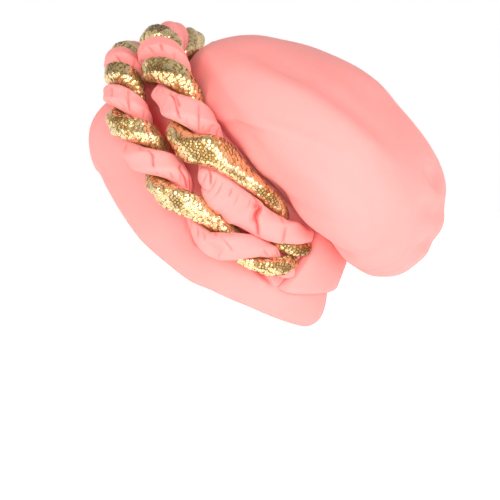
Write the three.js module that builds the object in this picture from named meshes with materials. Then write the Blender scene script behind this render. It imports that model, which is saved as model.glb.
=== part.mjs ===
// Turban cap: a stretch cloth cap with a slouched crown, a wide headband, a nape panel and two
// ropes that lie ear to ear over the front. Each rope is one padded cloth strand and one padded
// sequinned strand, twisted together. Millimetres; +Z up, the face side toward -Y, the wearer's
// left toward +X; the origin is the centre of the head opening.
import * as THREE from 'three';

// Head form: the outer side of the headband cloth, measured from its own centre.
const HEAD_CENTRE_REACH = 5;
const HEAD_CENTRE_RISE = 50;
const HEAD_HALF_WIDTH = 79;
const HEAD_FRONT = 97;
const HEAD_BACK = 112;
const HEAD_UP = 100;
const HEAD_DOWN = 148;
const PLAN_ROUNDNESS = 2.3;
const RISE_ROUNDNESS = 2.8;

// Cloth and fits.
const BAND_WALL = 2.4;
const CROWN_WALL = 2.0;
const PANEL_PAD = 6.4;
const SEAM_GAP = 0.4;
const REST_GAP = 0.5;

// Soft swell of the headband over the forehead, and the tuck of its hem.
const BROW_SWELL = 8;
const BROW_SWELL_RISE = 26;
const BROW_SWELL_SPAN = 23;
const BROW_SWELL_TURN = 78;
const BROW_SWELL_FADE = 1.2;
const HEM_TUCK = 2.2;
const HEM_TUCK_SHARE = 0.1;

// Hollow of the headband under the back of the head.
const NAPE_HOLLOW = 6.5;
const NAPE_HOLLOW_RISE = -16;
const NAPE_HOLLOW_SPAN = 26;
const NAPE_HOLLOW_TURN = 112;
const NAPE_HOLLOW_SPREAD = 60;

// Crown seam plane: a point on it and how far it leans back from level.
const SEAM_REACH = 53.5;
const SEAM_RISE = 78.5;
const SEAM_LEAN = 47.46;

// Crown bag, measured from the seam plane.
const CROWN_HEIGHT = 106;
const CROWN_FRONT = 107;
const CROWN_REAR = 147;
const CROWN_HALF_WIDTH = 117;
const LIP_SAG = 5.5;
const LIP_SAG_AROUND = 122;
const LIP_SAG_SPREAD = 13;
const LIP_SAG_SHARES = [0.9, 1, 0.6, 0.2];
const GATHER_DEPTH = 1.6;
const GATHER_COUNT = 11;
const GATHER_SHARES = [0, 1, 0.7, 0.3];
const GATHER_SINK = 0.5;
const CROWN_ROUNDNESS = 2.25;
const LIP_ROUNDNESS = 2.1;
const LIP_RINGS = 2;

// Ropes: radius of each twisted rope at its fullest.
const FRONT_ROPE_RADIUS = 17.5;
const BACK_ROPE_RADIUS = 20.5;
const STRAND_GAP = 0.6;
const LOBE_WIDTH = 0.74;
const LOBE_ROUNDNESS = 0.85;
const GOLD_SHARE = 0.94;
const MIRRORED_CORAL_LIMIT = 1.12;

// Mesh density.
const AROUND = 44;
const STRAND_SIDES = 10;
const FRONT_ROPE_STEPS = 96;
const BACK_ROPE_STEPS = 80;
const PANEL_STEPS = 20;
const ROPE_READINGS = 1200;
const ROPE_WAY_WEIGHT = 8;
const SEAM_SEARCH_REACH = 200;
const SEAM_SEARCH_HALVINGS = 40;
const NORMAL_STANDOFF = 10;
const NORMAL_STEP = 0.02;

const CORAL = 0xfba9a3;
const CORAL_DEEP = 0xf59c97;
const GOLD = 0xd8a548;

// Hem line on the head form, from the face (turn 0) to the nape (turn 180), in degrees.
const HEM = [
  { turn: 0, rise: 9 }, { turn: 15, rise: 8.6 }, { turn: 29, rise: 7 },
  { turn: 37.8, rise: 0.3 }, { turn: 44.3, rise: -6 }, { turn: 54, rise: -17 },
  { turn: 63.7, rise: -27.2 }, { turn: 77.7, rise: -37 }, { turn: 93.3, rise: -44.8 },
  { turn: 109, rise: -47.6 }, { turn: 120, rise: -49 }, { turn: 131, rise: -49.8 },
  { turn: 142, rise: -50.8 }, { turn: 156, rise: -51.9 }, { turn: 168, rise: -52.9 },
  { turn: 180, rise: -53.4 },
];

// Rows of the headband between its hem (0) and the crown seam (1).
const BAND_ROWS = [0, 0.05, 0.17, 0.32, 0.48, 0.66, 0.84, 1];

// Crown rings from the seam to the pole. Rises are shares of CROWN_HEIGHT; reaches are shares of
// CROWN_FRONT (top), CROWN_HALF_WIDTH (side) and CROWN_REAR (bottom).
const CROWN_RINGS = [
  { topRise: 0.075, top: 0.936, sideRise: 0.075, side: 0.728, bottomRise: -0.045, bottom: 0.722 },
  { topRise: 0.180, top: 0.930, sideRise: 0.18, side: 0.832, bottomRise: -0.055, bottom: 0.835 },
  { topRise: 0.295, top: 0.890, sideRise: 0.275, side: 0.932, bottomRise: -0.005, bottom: 0.945 },
  { topRise: 0.415, top: 0.820, sideRise: 0.37, side: 0.985, bottomRise: 0.120, bottom: 1.005 },
  { topRise: 0.535, top: 0.725, sideRise: 0.48, side: 1.000, bottomRise: 0.285, bottom: 1.020 },
  { topRise: 0.645, top: 0.595, sideRise: 0.59, side: 0.995, bottomRise: 0.465, bottom: 1.000 },
  { topRise: 0.745, top: 0.445, sideRise: 0.69, side: 0.960, bottomRise: 0.625, bottom: 0.945 },
  { topRise: 0.830, top: 0.285, sideRise: 0.78, side: 0.880, bottomRise: 0.755, bottom: 0.855 },
  { topRise: 0.905, top: 0.125, sideRise: 0.85, side: 0.745, bottomRise: 0.850, bottom: 0.755 },
  { topRise: 0.960, top: -0.020, sideRise: 0.90, side: 0.560, bottomRise: 0.915, bottom: 0.640 },
  { topRise: 0.990, top: -0.170, sideRise: 0.94, side: 0.330, bottomRise: 0.965, bottom: 0.510 },
];
const CROWN_POLE = { rise: 0.995, rear: 0.27 };

// Soft folds of the crown: where they sit (degrees round the seam, ring number), how far they
// spread, and how deep they go.
const CROWN_FOLDS = [
  { around: 178, ring: 3.2, spreadAround: 16, spreadRing: 1.1, depth: -2.5 },
  { around: 150, ring: 4.6, spreadAround: 9, spreadRing: 2.0, depth: -2.2 },
  { around: 210, ring: 4.6, spreadAround: 9, spreadRing: 2.0, depth: -2.2 },
  { around: 172, ring: 6.4, spreadAround: 12, spreadRing: 0.8, depth: -2.0 },
  { around: 186, ring: 8.4, spreadAround: 14, spreadRing: 0.8, depth: -1.6 },
  { around: 118, ring: 8.2, spreadAround: 12, spreadRing: 1.4, depth: -2.2 },
  { around: 242, ring: 8.2, spreadAround: 12, spreadRing: 1.4, depth: -2.2 },
  { around: 40, ring: 7.2, spreadAround: 13, spreadRing: 1.6, depth: -2.0 },
  { around: 320, ring: 7.2, spreadAround: 13, spreadRing: 1.6, depth: -2.0 },
];

// Nape panel border on the head form: lower fold and upper edge, corner to middle.
const PANEL_LOWER = [
  { turn: 143.6, rise: -39.2 }, { turn: 148, rise: -40.5 }, { turn: 156, rise: -40.9 },
  { turn: 166, rise: -40.6 }, { turn: 180, rise: -40.6 },
];
const PANEL_UPPER = [
  { turn: 155.6, rise: -18.6 }, { turn: 160.5, rise: -21 }, { turn: 166, rise: -24.6 },
  { turn: 172, rise: -28.6 }, { turn: 180, rise: -31.6 },
];
// Rows of the panel from its lower fold to its upper edge, with the share of the pad at each.
const PANEL_ROWS = [
  { share: 0, pad: 0.5 }, { share: 0.12, pad: 1 }, { share: 0.35, pad: 1 },
  { share: 0.68, pad: 0.85 }, { share: 1, pad: 0.45 },
];
const PANEL_EDGE_PAD = 0.5;

// Rope routes on the head form from the top centre to the wearer's left ear, with the rope's
// radius, its depth off the head and the fullness of its cloth strand as shares.
const FRONT_ROUTE = [
  { turn: 0, rise: 54.5, radius: 0.94, depth: 1, coral: 1 },
  { turn: 24, rise: 53, radius: 0.94, depth: 1, coral: 1 },
  { turn: 50.5, rise: 45, radius: 0.95, depth: 1, coral: 1 },
  { turn: 59.2, rise: 39, radius: 0.98, depth: 1, coral: 1 },
  { turn: 65, rise: 31.5, radius: 1, depth: 1, coral: 1 },
  { turn: 70, rise: 25, radius: 1, depth: 1, coral: 1 },
  { turn: 74.6, rise: 19.4, radius: 1, depth: 1, coral: 1 },
  { turn: 82.5, rise: 10.4, radius: 1, depth: 1, coral: 1 },
  { turn: 89.5, rise: 2.2, radius: 1, depth: 1, coral: 1 },
  { turn: 95.8, rise: -6, radius: 1, depth: 1, coral: 1 },
  { turn: 102.9, rise: -14.2, radius: 0.98, depth: 0.98, coral: 1 },
  { turn: 110.1, rise: -21, radius: 0.94, depth: 0.96, coral: 1.02 },
  { turn: 118.7, rise: -25, radius: 0.86, depth: 0.94, coral: 1.05 },
  { turn: 126.6, rise: -27, radius: 0.76, depth: 0.92, coral: 1.05 },
  { turn: 134, rise: -28.9, radius: 0.66, depth: 0.85, coral: 1 },
  { turn: 140.2, rise: -30.2, radius: 0.58, depth: 0.62, coral: 0.95 },
  { turn: 144.8, rise: -30.6, radius: 0.5, depth: 0.4, coral: 0.9 },
];
const BACK_ROUTE = [
  { turn: 0, rise: 74, radius: 0.9, depth: 1, coral: 1 },
  { turn: 45, rise: 68.4, radius: 0.9, depth: 1, coral: 1 },
  { turn: 78.7, rise: 52, radius: 0.93, depth: 1, coral: 1 },
  { turn: 87.6, rise: 41.8, radius: 0.97, depth: 1, coral: 1 },
  { turn: 95.7, rise: 31.1, radius: 1, depth: 1, coral: 1 },
  { turn: 102.1, rise: 20.3, radius: 1, depth: 1, coral: 1 },
  { turn: 110.2, rise: 13, radius: 1, depth: 1.02, coral: 0.97 },
  { turn: 119, rise: 4.2, radius: 1, depth: 0.86, coral: 1.36 },
  { turn: 127, rise: -4.2, radius: 0.97, depth: 0.8, coral: 1.45 },
  { turn: 132.4, rise: -11.1, radius: 0.86, depth: 0.8, coral: 1.28 },
  { turn: 138.2, rise: -16.9, radius: 0.7, depth: 0.8, coral: 1.05 },
  { turn: 144, rise: -20.5, radius: 0.57, depth: 0.64, coral: 1 },
  { turn: 148.2, rise: -21.8, radius: 0.48, depth: 0.4, coral: 1 },
];

// Twist of each rope: half turns of the sequinned strand against the share of the way from the
// top centre to the ear. Whole even numbers bring the sequinned strand outermost.
const FRONT_TWIST = [
  { way: 0, halfTurns: -1.34 }, { way: 0.102, halfTurns: 0 }, { way: 0.179, halfTurns: 1 },
  { way: 0.254, halfTurns: 2 }, { way: 0.332, halfTurns: 3 }, { way: 0.417, halfTurns: 4 },
  { way: 0.523, halfTurns: 5 }, { way: 0.648, halfTurns: 6 }, { way: 0.745, halfTurns: 6.5 },
  { way: 0.835, halfTurns: 7 }, { way: 0.905, halfTurns: 7.5 }, { way: 0.96, halfTurns: 8 },
  { way: 1, halfTurns: 8.35 },
];
const BACK_TWIST = [
  { way: 0, halfTurns: -1.45 }, { way: 0.152, halfTurns: 0 }, { way: 0.254, halfTurns: 1 },
  { way: 0.35, halfTurns: 2 }, { way: 0.47, halfTurns: 3 }, { way: 0.537, halfTurns: 3.5 },
  { way: 0.608, halfTurns: 4 }, { way: 0.689, halfTurns: 4.3 }, { way: 0.777, halfTurns: 4.5 },
  { way: 0.841, halfTurns: 4.72 }, { way: 0.8975, halfTurns: 5 }, { way: 0.947, halfTurns: 5.25 },
  { way: 1, halfTurns: 5.42 },
];

const RAD = Math.PI / 180;
const HEAD_CENTRE = new THREE.Vector3(0, HEAD_CENTRE_REACH, HEAD_CENTRE_RISE);
const SEAM_POINT = new THREE.Vector3(0, SEAM_REACH, SEAM_RISE);
const SEAM_UP = new THREE.Vector3(0, -Math.cos(SEAM_LEAN * RAD), Math.sin(SEAM_LEAN * RAD));
const SEAM_NORMAL = new THREE.Vector3(0, Math.sin(SEAM_LEAN * RAD), Math.cos(SEAM_LEAN * RAD));

// Straight-line reading of a table column at a key.
function readTable(rows, key, column, at) {
  if (at <= rows[0][key]) return rows[0][column];
  for (let i = 1; i < rows.length; i += 1) {
    const a = rows[i - 1];
    const b = rows[i];
    if (at <= b[key]) return a[column] + ((b[column] - a[column]) * (at - a[key])) / (b[key] - a[key]);
  }
  return rows[rows.length - 1][column];
}

// Smooth reading of a rising table column, with slopes taken across the neighbouring rows.
function readSmooth(rows, key, column, at) {
  const last = rows.length - 1;
  const slope = (i) => {
    const a = rows[Math.max(i - 1, 0)];
    const b = rows[Math.min(i + 1, last)];
    return (b[column] - a[column]) / (b[key] - a[key]);
  };
  let i = 0;
  while (i < last - 1 && at > rows[i + 1][key]) i += 1;
  const span = rows[i + 1][key] - rows[i][key];
  const t = Math.min(Math.max((at - rows[i][key]) / span, 0), 1);
  const t2 = t * t;
  const t3 = t2 * t;
  return (2 * t3 - 3 * t2 + 1) * rows[i][column] + (t3 - 2 * t2 + t) * span * slope(i)
    + (-2 * t3 + 3 * t2) * rows[i + 1][column] + (t3 - t2) * span * slope(i + 1);
}

function direction(turn, rise) {
  const t = turn * RAD;
  const r = rise * RAD;
  return new THREE.Vector3(Math.cos(r) * Math.sin(t), -Math.cos(r) * Math.cos(t), Math.sin(r));
}

// Distance from the head centre to the head form grown by a standoff, along a direction.
function formRadius(d, standoff) {
  const half = HEAD_HALF_WIDTH + standoff;
  const length = (d.y < 0 ? HEAD_FRONT : HEAD_BACK) + standoff;
  const height = (d.z < 0 ? HEAD_DOWN : HEAD_UP) + standoff;
  const plan = (Math.abs(d.x) / half) ** PLAN_ROUNDNESS + (Math.abs(d.y) / length) ** PLAN_ROUNDNESS;
  return (plan ** (RISE_ROUNDNESS / PLAN_ROUNDNESS) + (Math.abs(d.z) / height) ** RISE_ROUNDNESS)
    ** (-1 / RISE_ROUNDNESS);
}

// Swell of the headband over the forehead, less its hollow at the nape, along a direction.
function headSwell(d) {
  const turn = Math.abs(Math.atan2(d.x, -d.y)) / RAD;
  const rise = Math.asin(THREE.MathUtils.clamp(d.z, -1, 1)) / RAD;
  const up = (rise - BROW_SWELL_RISE) / BROW_SWELL_SPAN;
  const side = turn / BROW_SWELL_TURN;
  const low = (NAPE_HOLLOW_RISE - rise) / NAPE_HOLLOW_SPAN;
  const back = (turn - NAPE_HOLLOW_TURN) / NAPE_HOLLOW_SPREAD;
  const hollow = NAPE_HOLLOW * THREE.MathUtils.smoothstep(low, 0, 1) * THREE.MathUtils.smoothstep(back, 0, 1);
  if (Math.abs(up) >= 1 || side >= 1) return -hollow;
  return BROW_SWELL * Math.cos((up * Math.PI) / 2) ** 2 * Math.cos((side * Math.PI) / 2) ** BROW_SWELL_FADE - hollow;
}

function onHead(d, standoff) {
  return HEAD_CENTRE.clone().addScaledVector(d, formRadius(d, standoff + headSwell(d)));
}

function outward(p) {
  const d = p.clone().sub(HEAD_CENTRE).normalize();
  const side = new THREE.Vector3().crossVectors(d, Math.abs(d.z) > 0.9
    ? new THREE.Vector3(1, 0, 0) : new THREE.Vector3(0, 0, 1)).normalize();
  const up = new THREE.Vector3().crossVectors(side, d);
  const at = (s, u) => {
    const q = d.clone().addScaledVector(side, s).addScaledVector(up, u).normalize();
    return q.multiplyScalar(formRadius(q, NORMAL_STANDOFF));
  };
  const a = at(NORMAL_STEP, 0).sub(at(-NORMAL_STEP, 0));
  const b = at(0, NORMAL_STEP).sub(at(0, -NORMAL_STEP));
  const n = a.cross(b).normalize();
  return n.dot(d) < 0 ? n.negate() : n;
}

// One closed body from points and faces, turned outward.
function closedBody(points, faces) {
  let volume = 0;
  for (const [a, b, c] of faces) {
    volume += points[a].dot(new THREE.Vector3().crossVectors(points[b], points[c]));
  }
  const index = [];
  for (const [a, b, c] of faces) index.push(...(volume < 0 ? [a, c, b] : [a, b, c]));
  const geometry = new THREE.BufferGeometry();
  const flat = points.flatMap((p) => [p.x, p.y, p.z]);
  geometry.setAttribute('position', new THREE.Float32BufferAttribute(flat, 3));
  geometry.setIndex(index);
  geometry.computeVertexNormals();
  return geometry;
}

function quad(faces, a, b, c, d) {
  faces.push([a, b, c], [a, c, d]);
}

// A cloth wall between two closed ring stacks of the same layout, open at both ends or closed to
// a pole at the last end.
function wallBody(outer, inner, outerPole, innerPole) {
  const rows = outer.length;
  const around = outer[0].length;
  const points = [...outer.flat(), ...inner.flat()];
  const faces = [];
  const out = (r, c) => r * around + (c % around);
  const inn = (r, c) => rows * around + r * around + (c % around);
  for (let c = 0; c < around; c += 1) {
    for (let r = 0; r < rows - 1; r += 1) {
      quad(faces, out(r, c), out(r, c + 1), out(r + 1, c + 1), out(r + 1, c));
      quad(faces, inn(r, c), inn(r + 1, c), inn(r + 1, c + 1), inn(r, c + 1));
    }
    quad(faces, inn(0, c), inn(0, c + 1), out(0, c + 1), out(0, c));
  }
  if (outerPole) {
    const top = points.length;
    points.push(outerPole, innerPole);
    for (let c = 0; c < around; c += 1) {
      faces.push([out(rows - 1, c), out(rows - 1, c + 1), top]);
      faces.push([inn(rows - 1, c + 1), inn(rows - 1, c), top + 1]);
    }
  } else {
    for (let c = 0; c < around; c += 1) {
      quad(faces, out(rows - 1, c), out(rows - 1, c + 1), inn(rows - 1, c + 1), inn(rows - 1, c));
    }
  }
  return closedBody(points, faces);
}

// Point of the crown seam on the head form, an angle round the seam from its top.
function seamPoint(around, lift) {
  const a = around * RAD;
  const ray = SEAM_UP.clone().multiplyScalar(Math.cos(a)).add(new THREE.Vector3(Math.sin(a), 0, 0));
  const from = SEAM_POINT.clone().addScaledVector(SEAM_NORMAL, lift);
  let near = 0;
  let far = SEAM_SEARCH_REACH;
  for (let i = 0; i < SEAM_SEARCH_HALVINGS; i += 1) {
    const mid = (near + far) / 2;
    const v = from.clone().addScaledVector(ray, mid).sub(HEAD_CENTRE);
    const reach = v.length();
    if (reach < formRadius(v.divideScalar(reach), 0)) near = mid;
    else far = mid;
  }
  return from.addScaledVector(ray, near);
}

function headband() {
  const outer = BAND_ROWS.map(() => []);
  const inner = BAND_ROWS.map(() => []);
  for (let c = 0; c < AROUND; c += 1) {
    const around = (360 * c) / AROUND;
    const turn = around <= 180 ? around : around - 360;
    const low = direction(turn, readSmooth(HEM, 'turn', 'rise', Math.abs(turn)));
    const high = seamPoint(around, 0).sub(HEAD_CENTRE).normalize();
    const angle = Math.acos(THREE.MathUtils.clamp(low.dot(high), -1, 1));
    BAND_ROWS.forEach((share, r) => {
      const d = low.clone().multiplyScalar(Math.sin((1 - share) * angle) / Math.sin(angle))
        .addScaledVector(high, Math.sin(share * angle) / Math.sin(angle)).normalize();
      const tuck = HEM_TUCK * Math.max(0, 1 - share / HEM_TUCK_SHARE) ** 2;
      const reach = formRadius(d, headSwell(d) - tuck);
      outer[r].push(HEAD_CENTRE.clone().addScaledVector(d, reach));
      inner[r].push(HEAD_CENTRE.clone().addScaledVector(d, reach - BAND_WALL));
    });
  }
  return wallBody(outer, inner);
}

function crownOuter() {
  const rings = [[]];
  for (let c = 0; c < AROUND; c += 1) rings[0].push(seamPoint((360 * c) / AROUND, SEAM_GAP));
  CROWN_RINGS.forEach((row, k) => {
    const ring = [];
    const top = row.top * CROWN_FRONT;
    const bottom = -row.bottom * CROWN_REAR;
    const round = 2 / (k < LIP_RINGS ? LIP_ROUNDNESS : CROWN_ROUNDNESS);
    for (let c = 0; c < AROUND; c += 1) {
      const a = ((360 * c) / AROUND) * RAD;
      const cos = Math.sign(Math.cos(a)) * Math.abs(Math.cos(a)) ** round;
      const sin = Math.sign(Math.sin(a)) * Math.abs(Math.sin(a)) ** round;
      const end = Math.cos(a) >= 0 ? row.topRise : row.bottomRise;
      const blend = Math.cos(a) ** 2;
      const off = (Math.acos(Math.cos(a)) / RAD - LIP_SAG_AROUND) / LIP_SAG_SPREAD;
      const sag = LIP_SAG * (LIP_SAG_SHARES[k] ?? 0) * Math.exp((-off * off) / 2);
      const rise = (row.sideRise + (end - row.sideRise) * blend) * CROWN_HEIGHT - sag;
      ring.push(SEAM_POINT.clone()
        .addScaledVector(SEAM_NORMAL, rise)
        .addScaledVector(SEAM_UP, (top + bottom) / 2 + ((top - bottom) / 2) * cos)
        .add(new THREE.Vector3(row.side * CROWN_HALF_WIDTH * sin, 0, 0)));
    }
    rings.push(ring);
  });
  const pole = SEAM_POINT.clone().addScaledVector(SEAM_NORMAL, CROWN_POLE.rise * CROWN_HEIGHT)
    .addScaledVector(SEAM_UP, -CROWN_POLE.rear * CROWN_REAR);
  return { rings, pole };
}

// Outward normals of a ring stack, from the neighbouring points.
function ringNormals(rings, pole) {
  return rings.map((ring, r) => ring.map((p, c) => {
    const count = ring.length;
    const along = (r + 1 < rings.length ? rings[r + 1][c] : pole).clone().sub(r > 0 ? rings[r - 1][c] : p);
    const round = ring[(c + 1) % count].clone().sub(ring[(c + count - 1) % count]);
    return round.cross(along).normalize();
  }));
}

function crown() {
  const { rings, pole } = crownOuter();
  const normals = ringNormals(rings, pole);
  const outer = rings.map((ring, r) => ring.map((p, c) => {
    if (r === 0) return p.clone();
    const around = (360 * c) / AROUND;
    const gather = Math.cos(GATHER_COUNT * around * RAD) - GATHER_SINK;
    let depth = GATHER_DEPTH * (GATHER_SHARES[r] ?? 0) * gather;
    for (const fold of CROWN_FOLDS) {
      const a = (around - fold.around) / fold.spreadAround;
      const b = (r - fold.ring) / fold.spreadRing;
      depth += fold.depth * Math.exp(-(a * a + b * b) / 2);
    }
    return p.clone().addScaledVector(normals[r][c], depth);
  }));
  const folded = ringNormals(outer, pole);
  const inner = outer.map((ring, r) => ring.map((p, c) => {
    const n = r === 0 ? p.clone().sub(HEAD_CENTRE).normalize() : folded[r][c];
    return p.clone().addScaledVector(n, -CROWN_WALL);
  }));
  const innerPole = pole.clone().addScaledVector(SEAM_NORMAL, -CROWN_WALL);
  return wallBody(outer, inner, pole, innerPole);
}

function napePanel() {
  const columns = [];
  for (let c = 0; c <= PANEL_STEPS; c += 1) columns.push(-1 + (2 * c) / PANEL_STEPS);
  const border = (rows, u) => {
    const at = (1 - Math.abs(u)) * (rows.length - 1);
    const i = Math.min(Math.floor(at), rows.length - 2);
    const mix = (column) => rows[i][column] + (rows[i + 1][column] - rows[i][column]) * (at - i);
    const turn = mix('turn');
    return { turn: u > 0 ? turn : 360 - turn, rise: mix('rise') };
  };
  const outer = [];
  const inner = [];
  for (const { share, pad } of PANEL_ROWS) {
    for (const u of columns) {
      const low = border(PANEL_LOWER, u);
      const high = border(PANEL_UPPER, u);
      const d = direction(low.turn + (high.turn - low.turn) * share, low.rise + (high.rise - low.rise) * share);
      const edge = Math.abs(u) === 1 ? PANEL_EDGE_PAD : 1;
      outer.push(onHead(d, REST_GAP + PANEL_PAD * pad * edge));
      inner.push(onHead(d, REST_GAP));
    }
  }
  const width = columns.length;
  const rows = PANEL_ROWS.length;
  const points = [...outer, ...inner];
  const half = outer.length;
  const faces = [];
  const at = (r, c) => r * width + c;
  for (let r = 0; r < rows - 1; r += 1) {
    for (let c = 0; c < width - 1; c += 1) {
      quad(faces, at(r, c), at(r, c + 1), at(r + 1, c + 1), at(r + 1, c));
      quad(faces, half + at(r, c), half + at(r + 1, c), half + at(r + 1, c + 1), half + at(r, c + 1));
    }
  }
  for (let c = 0; c < width - 1; c += 1) {
    quad(faces, half + at(0, c), half + at(0, c + 1), at(0, c + 1), at(0, c));
    quad(faces, at(rows - 1, c), at(rows - 1, c + 1), half + at(rows - 1, c + 1), half + at(rows - 1, c));
  }
  for (let r = 0; r < rows - 1; r += 1) {
    quad(faces, at(r, 0), at(r + 1, 0), half + at(r + 1, 0), half + at(r, 0));
    quad(faces, half + at(r, width - 1), half + at(r + 1, width - 1), at(r + 1, width - 1), at(r, width - 1));
  }
  return closedBody(points, faces);
}

// Centre line of a rope from the wearer's right ear to the left, with its frame and section.
function ropeLine(route, fullRadius, twist, steps) {
  const knots = route.map((row) => {
    const radius = row.radius * fullRadius;
    const point = onHead(direction(row.turn, row.rise), radius * row.depth + REST_GAP);
    return { point, radius, depth: row.depth, coral: row.coral };
  });
  const mirrored = knots.slice(1).reverse().map((k) => ({
    ...k,
    coral: Math.min(k.coral, MIRRORED_CORAL_LIMIT),
    point: new THREE.Vector3(-k.point.x, k.point.y, k.point.z),
  }));
  const all = [...mirrored, ...knots];
  const curve = new THREE.CatmullRomCurve3(all.map((k) => k.point), false, 'centripetal');
  curve.arcLengthDivisions = ROPE_READINGS;
  const turnsAt = (u) => {
    const way = Math.abs(2 * u - 1);
    const turns = readSmooth(twist, 'way', 'halfTurns', way);
    return u >= 0.5 ? turns : 2 * twist[0].halfTurns - turns;
  };
  // Stations are spaced by a blend of way and twist, so tight turns get more of them.
  const fine = ROPE_READINGS;
  const cost = [0];
  for (let i = 1; i <= fine; i += 1) {
    const turned = Math.abs(turnsAt(i / fine) - turnsAt((i - 1) / fine));
    cost.push(cost[i - 1] + turned + ROPE_WAY_WEIGHT / fine);
  }
  const stations = [];
  let j = 0;
  for (let i = 0; i <= steps; i += 1) {
    const goal = (cost[fine] * i) / steps;
    while (j < fine - 1 && cost[j + 1] < goal) j += 1;
    const u = (j + (goal - cost[j]) / (cost[j + 1] - cost[j])) / fine;
    const t = curve.getUtoTmapping(u);
    const point = curve.getPoint(t);
    const tangent = curve.getTangent(t).normalize();
    const normal = outward(point);
    normal.addScaledVector(tangent, -normal.dot(tangent)).normalize();
    const front = new THREE.Vector3().crossVectors(tangent, normal);
    const at = t * (all.length - 1);
    const k = Math.min(Math.floor(at), all.length - 2);
    const mix = (column) => all[k][column] + (all[k + 1][column] - all[k][column]) * (at - k);
    stations.push({
      point,
      normal,
      front,
      radius: mix('radius'),
      depth: mix('depth'),
      coral: mix('coral'),
      phase: -Math.PI * turnsAt(u),
    });
  }
  return stations;
}

// One strand of a rope: a soft half-round lobe on one side of the turning rope section.
function strand(line, side) {
  const points = [];
  const faces = [];
  for (const s of line) {
    const phase = s.phase + (side > 0 ? 0 : Math.PI);
    const out = Math.cos(phase);
    const fore = Math.sin(phase);
    const share = side > 0 ? GOLD_SHARE * (1.5 - s.coral / 2) : s.coral;
    const half = (s.radius * share - STRAND_GAP / 2) / 2;
    const centre = STRAND_GAP / 2 + half;
    for (let i = 0; i < STRAND_SIDES; i += 1) {
      const a = (2 * Math.PI * i) / STRAND_SIDES;
      const e = centre + half * Math.sign(Math.cos(a)) * Math.abs(Math.cos(a)) ** LOBE_ROUNDNESS;
      const w = s.radius * LOBE_WIDTH * (side > 0 ? GOLD_SHARE : 1) * Math.sin(a);
      points.push(s.point.clone()
        .addScaledVector(s.normal, (out * e - fore * w) * s.depth)
        .addScaledVector(s.front, fore * e + out * w));
    }
  }
  // Faces that look at the other strand fold inward, so the two never cross between stations.
  const row = (r, c) => r * STRAND_SIDES + (c % STRAND_SIDES);
  for (let r = 0; r < line.length - 1; r += 1) {
    for (let c = 0; c < STRAND_SIDES; c += 1) {
      const four = [row(r, c), row(r, c + 1), row(r + 1, c + 1), row(r + 1, c)];
      const [p, q, t, v] = four.map((i) => points[i]);
      const above = q.clone().sub(p).cross(t.clone().sub(p)).dot(v.clone().sub(p)) > 0;
      const inside = Math.cos((2 * Math.PI * (c + 0.5)) / STRAND_SIDES) < 0;
      if (above !== inside) four.push(four.shift());
      quad(faces, ...four);
    }
  }
  for (const [r, flip] of [[0, true], [line.length - 1, false]]) {
    const middle = new THREE.Vector3();
    for (let c = 0; c < STRAND_SIDES; c += 1) middle.add(points[row(r, c)]);
    points.push(middle.divideScalar(STRAND_SIDES));
    const m = points.length - 1;
    for (let c = 0; c < STRAND_SIDES; c += 1) {
      faces.push(flip ? [row(r, c + 1), row(r, c), m] : [row(r, c), row(r, c + 1), m]);
    }
  }
  return closedBody(points, faces);
}

function piece(name, geometry, color, roughness, metalness) {
  const mesh = new THREE.Mesh(geometry, new THREE.MeshStandardMaterial({ color, roughness, metalness }));
  mesh.name = name;
  return mesh;
}

const frontLine = ropeLine(FRONT_ROUTE, FRONT_ROPE_RADIUS, FRONT_TWIST, FRONT_ROPE_STEPS);
const backLine = ropeLine(BACK_ROUTE, BACK_ROPE_RADIUS, BACK_TWIST, BACK_ROPE_STEPS);

const cap = new THREE.Group();
cap.name = 'turban_cap';
cap.add(
  piece('headband', headband(), CORAL, 0.75, 0),
  piece('crown', crown(), CORAL, 0.75, 0),
  piece('nape_panel', napePanel(), CORAL_DEEP, 0.75, 0),
  piece('front_rope_coral', strand(frontLine, -1), CORAL_DEEP, 0.75, 0),
  piece('front_rope_gold', strand(frontLine, 1), GOLD, 0.35, 0.8),
  piece('back_rope_coral', strand(backLine, -1), CORAL_DEEP, 0.75, 0),
  piece('back_rope_gold', strand(backLine, 1), GOLD, 0.35, 0.8),
);

export default cap;
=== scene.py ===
# %% [markdown]
# # Turban cap
# A soft cap of coral stretch crepe: a wide headband, a slouched crown that hangs out behind, a
# nape panel, and two ropes laid ear to ear over the front. Each rope twists one padded cloth
# strand with one padded strand covered in gold sequins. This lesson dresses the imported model:
# every soft solid gets a fine surface of the same form, then its folds, its sequins and its cloth.
# Lengths are in millimetres until a mesh is made, because cloth work is easier to read that way.

import math

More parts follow.
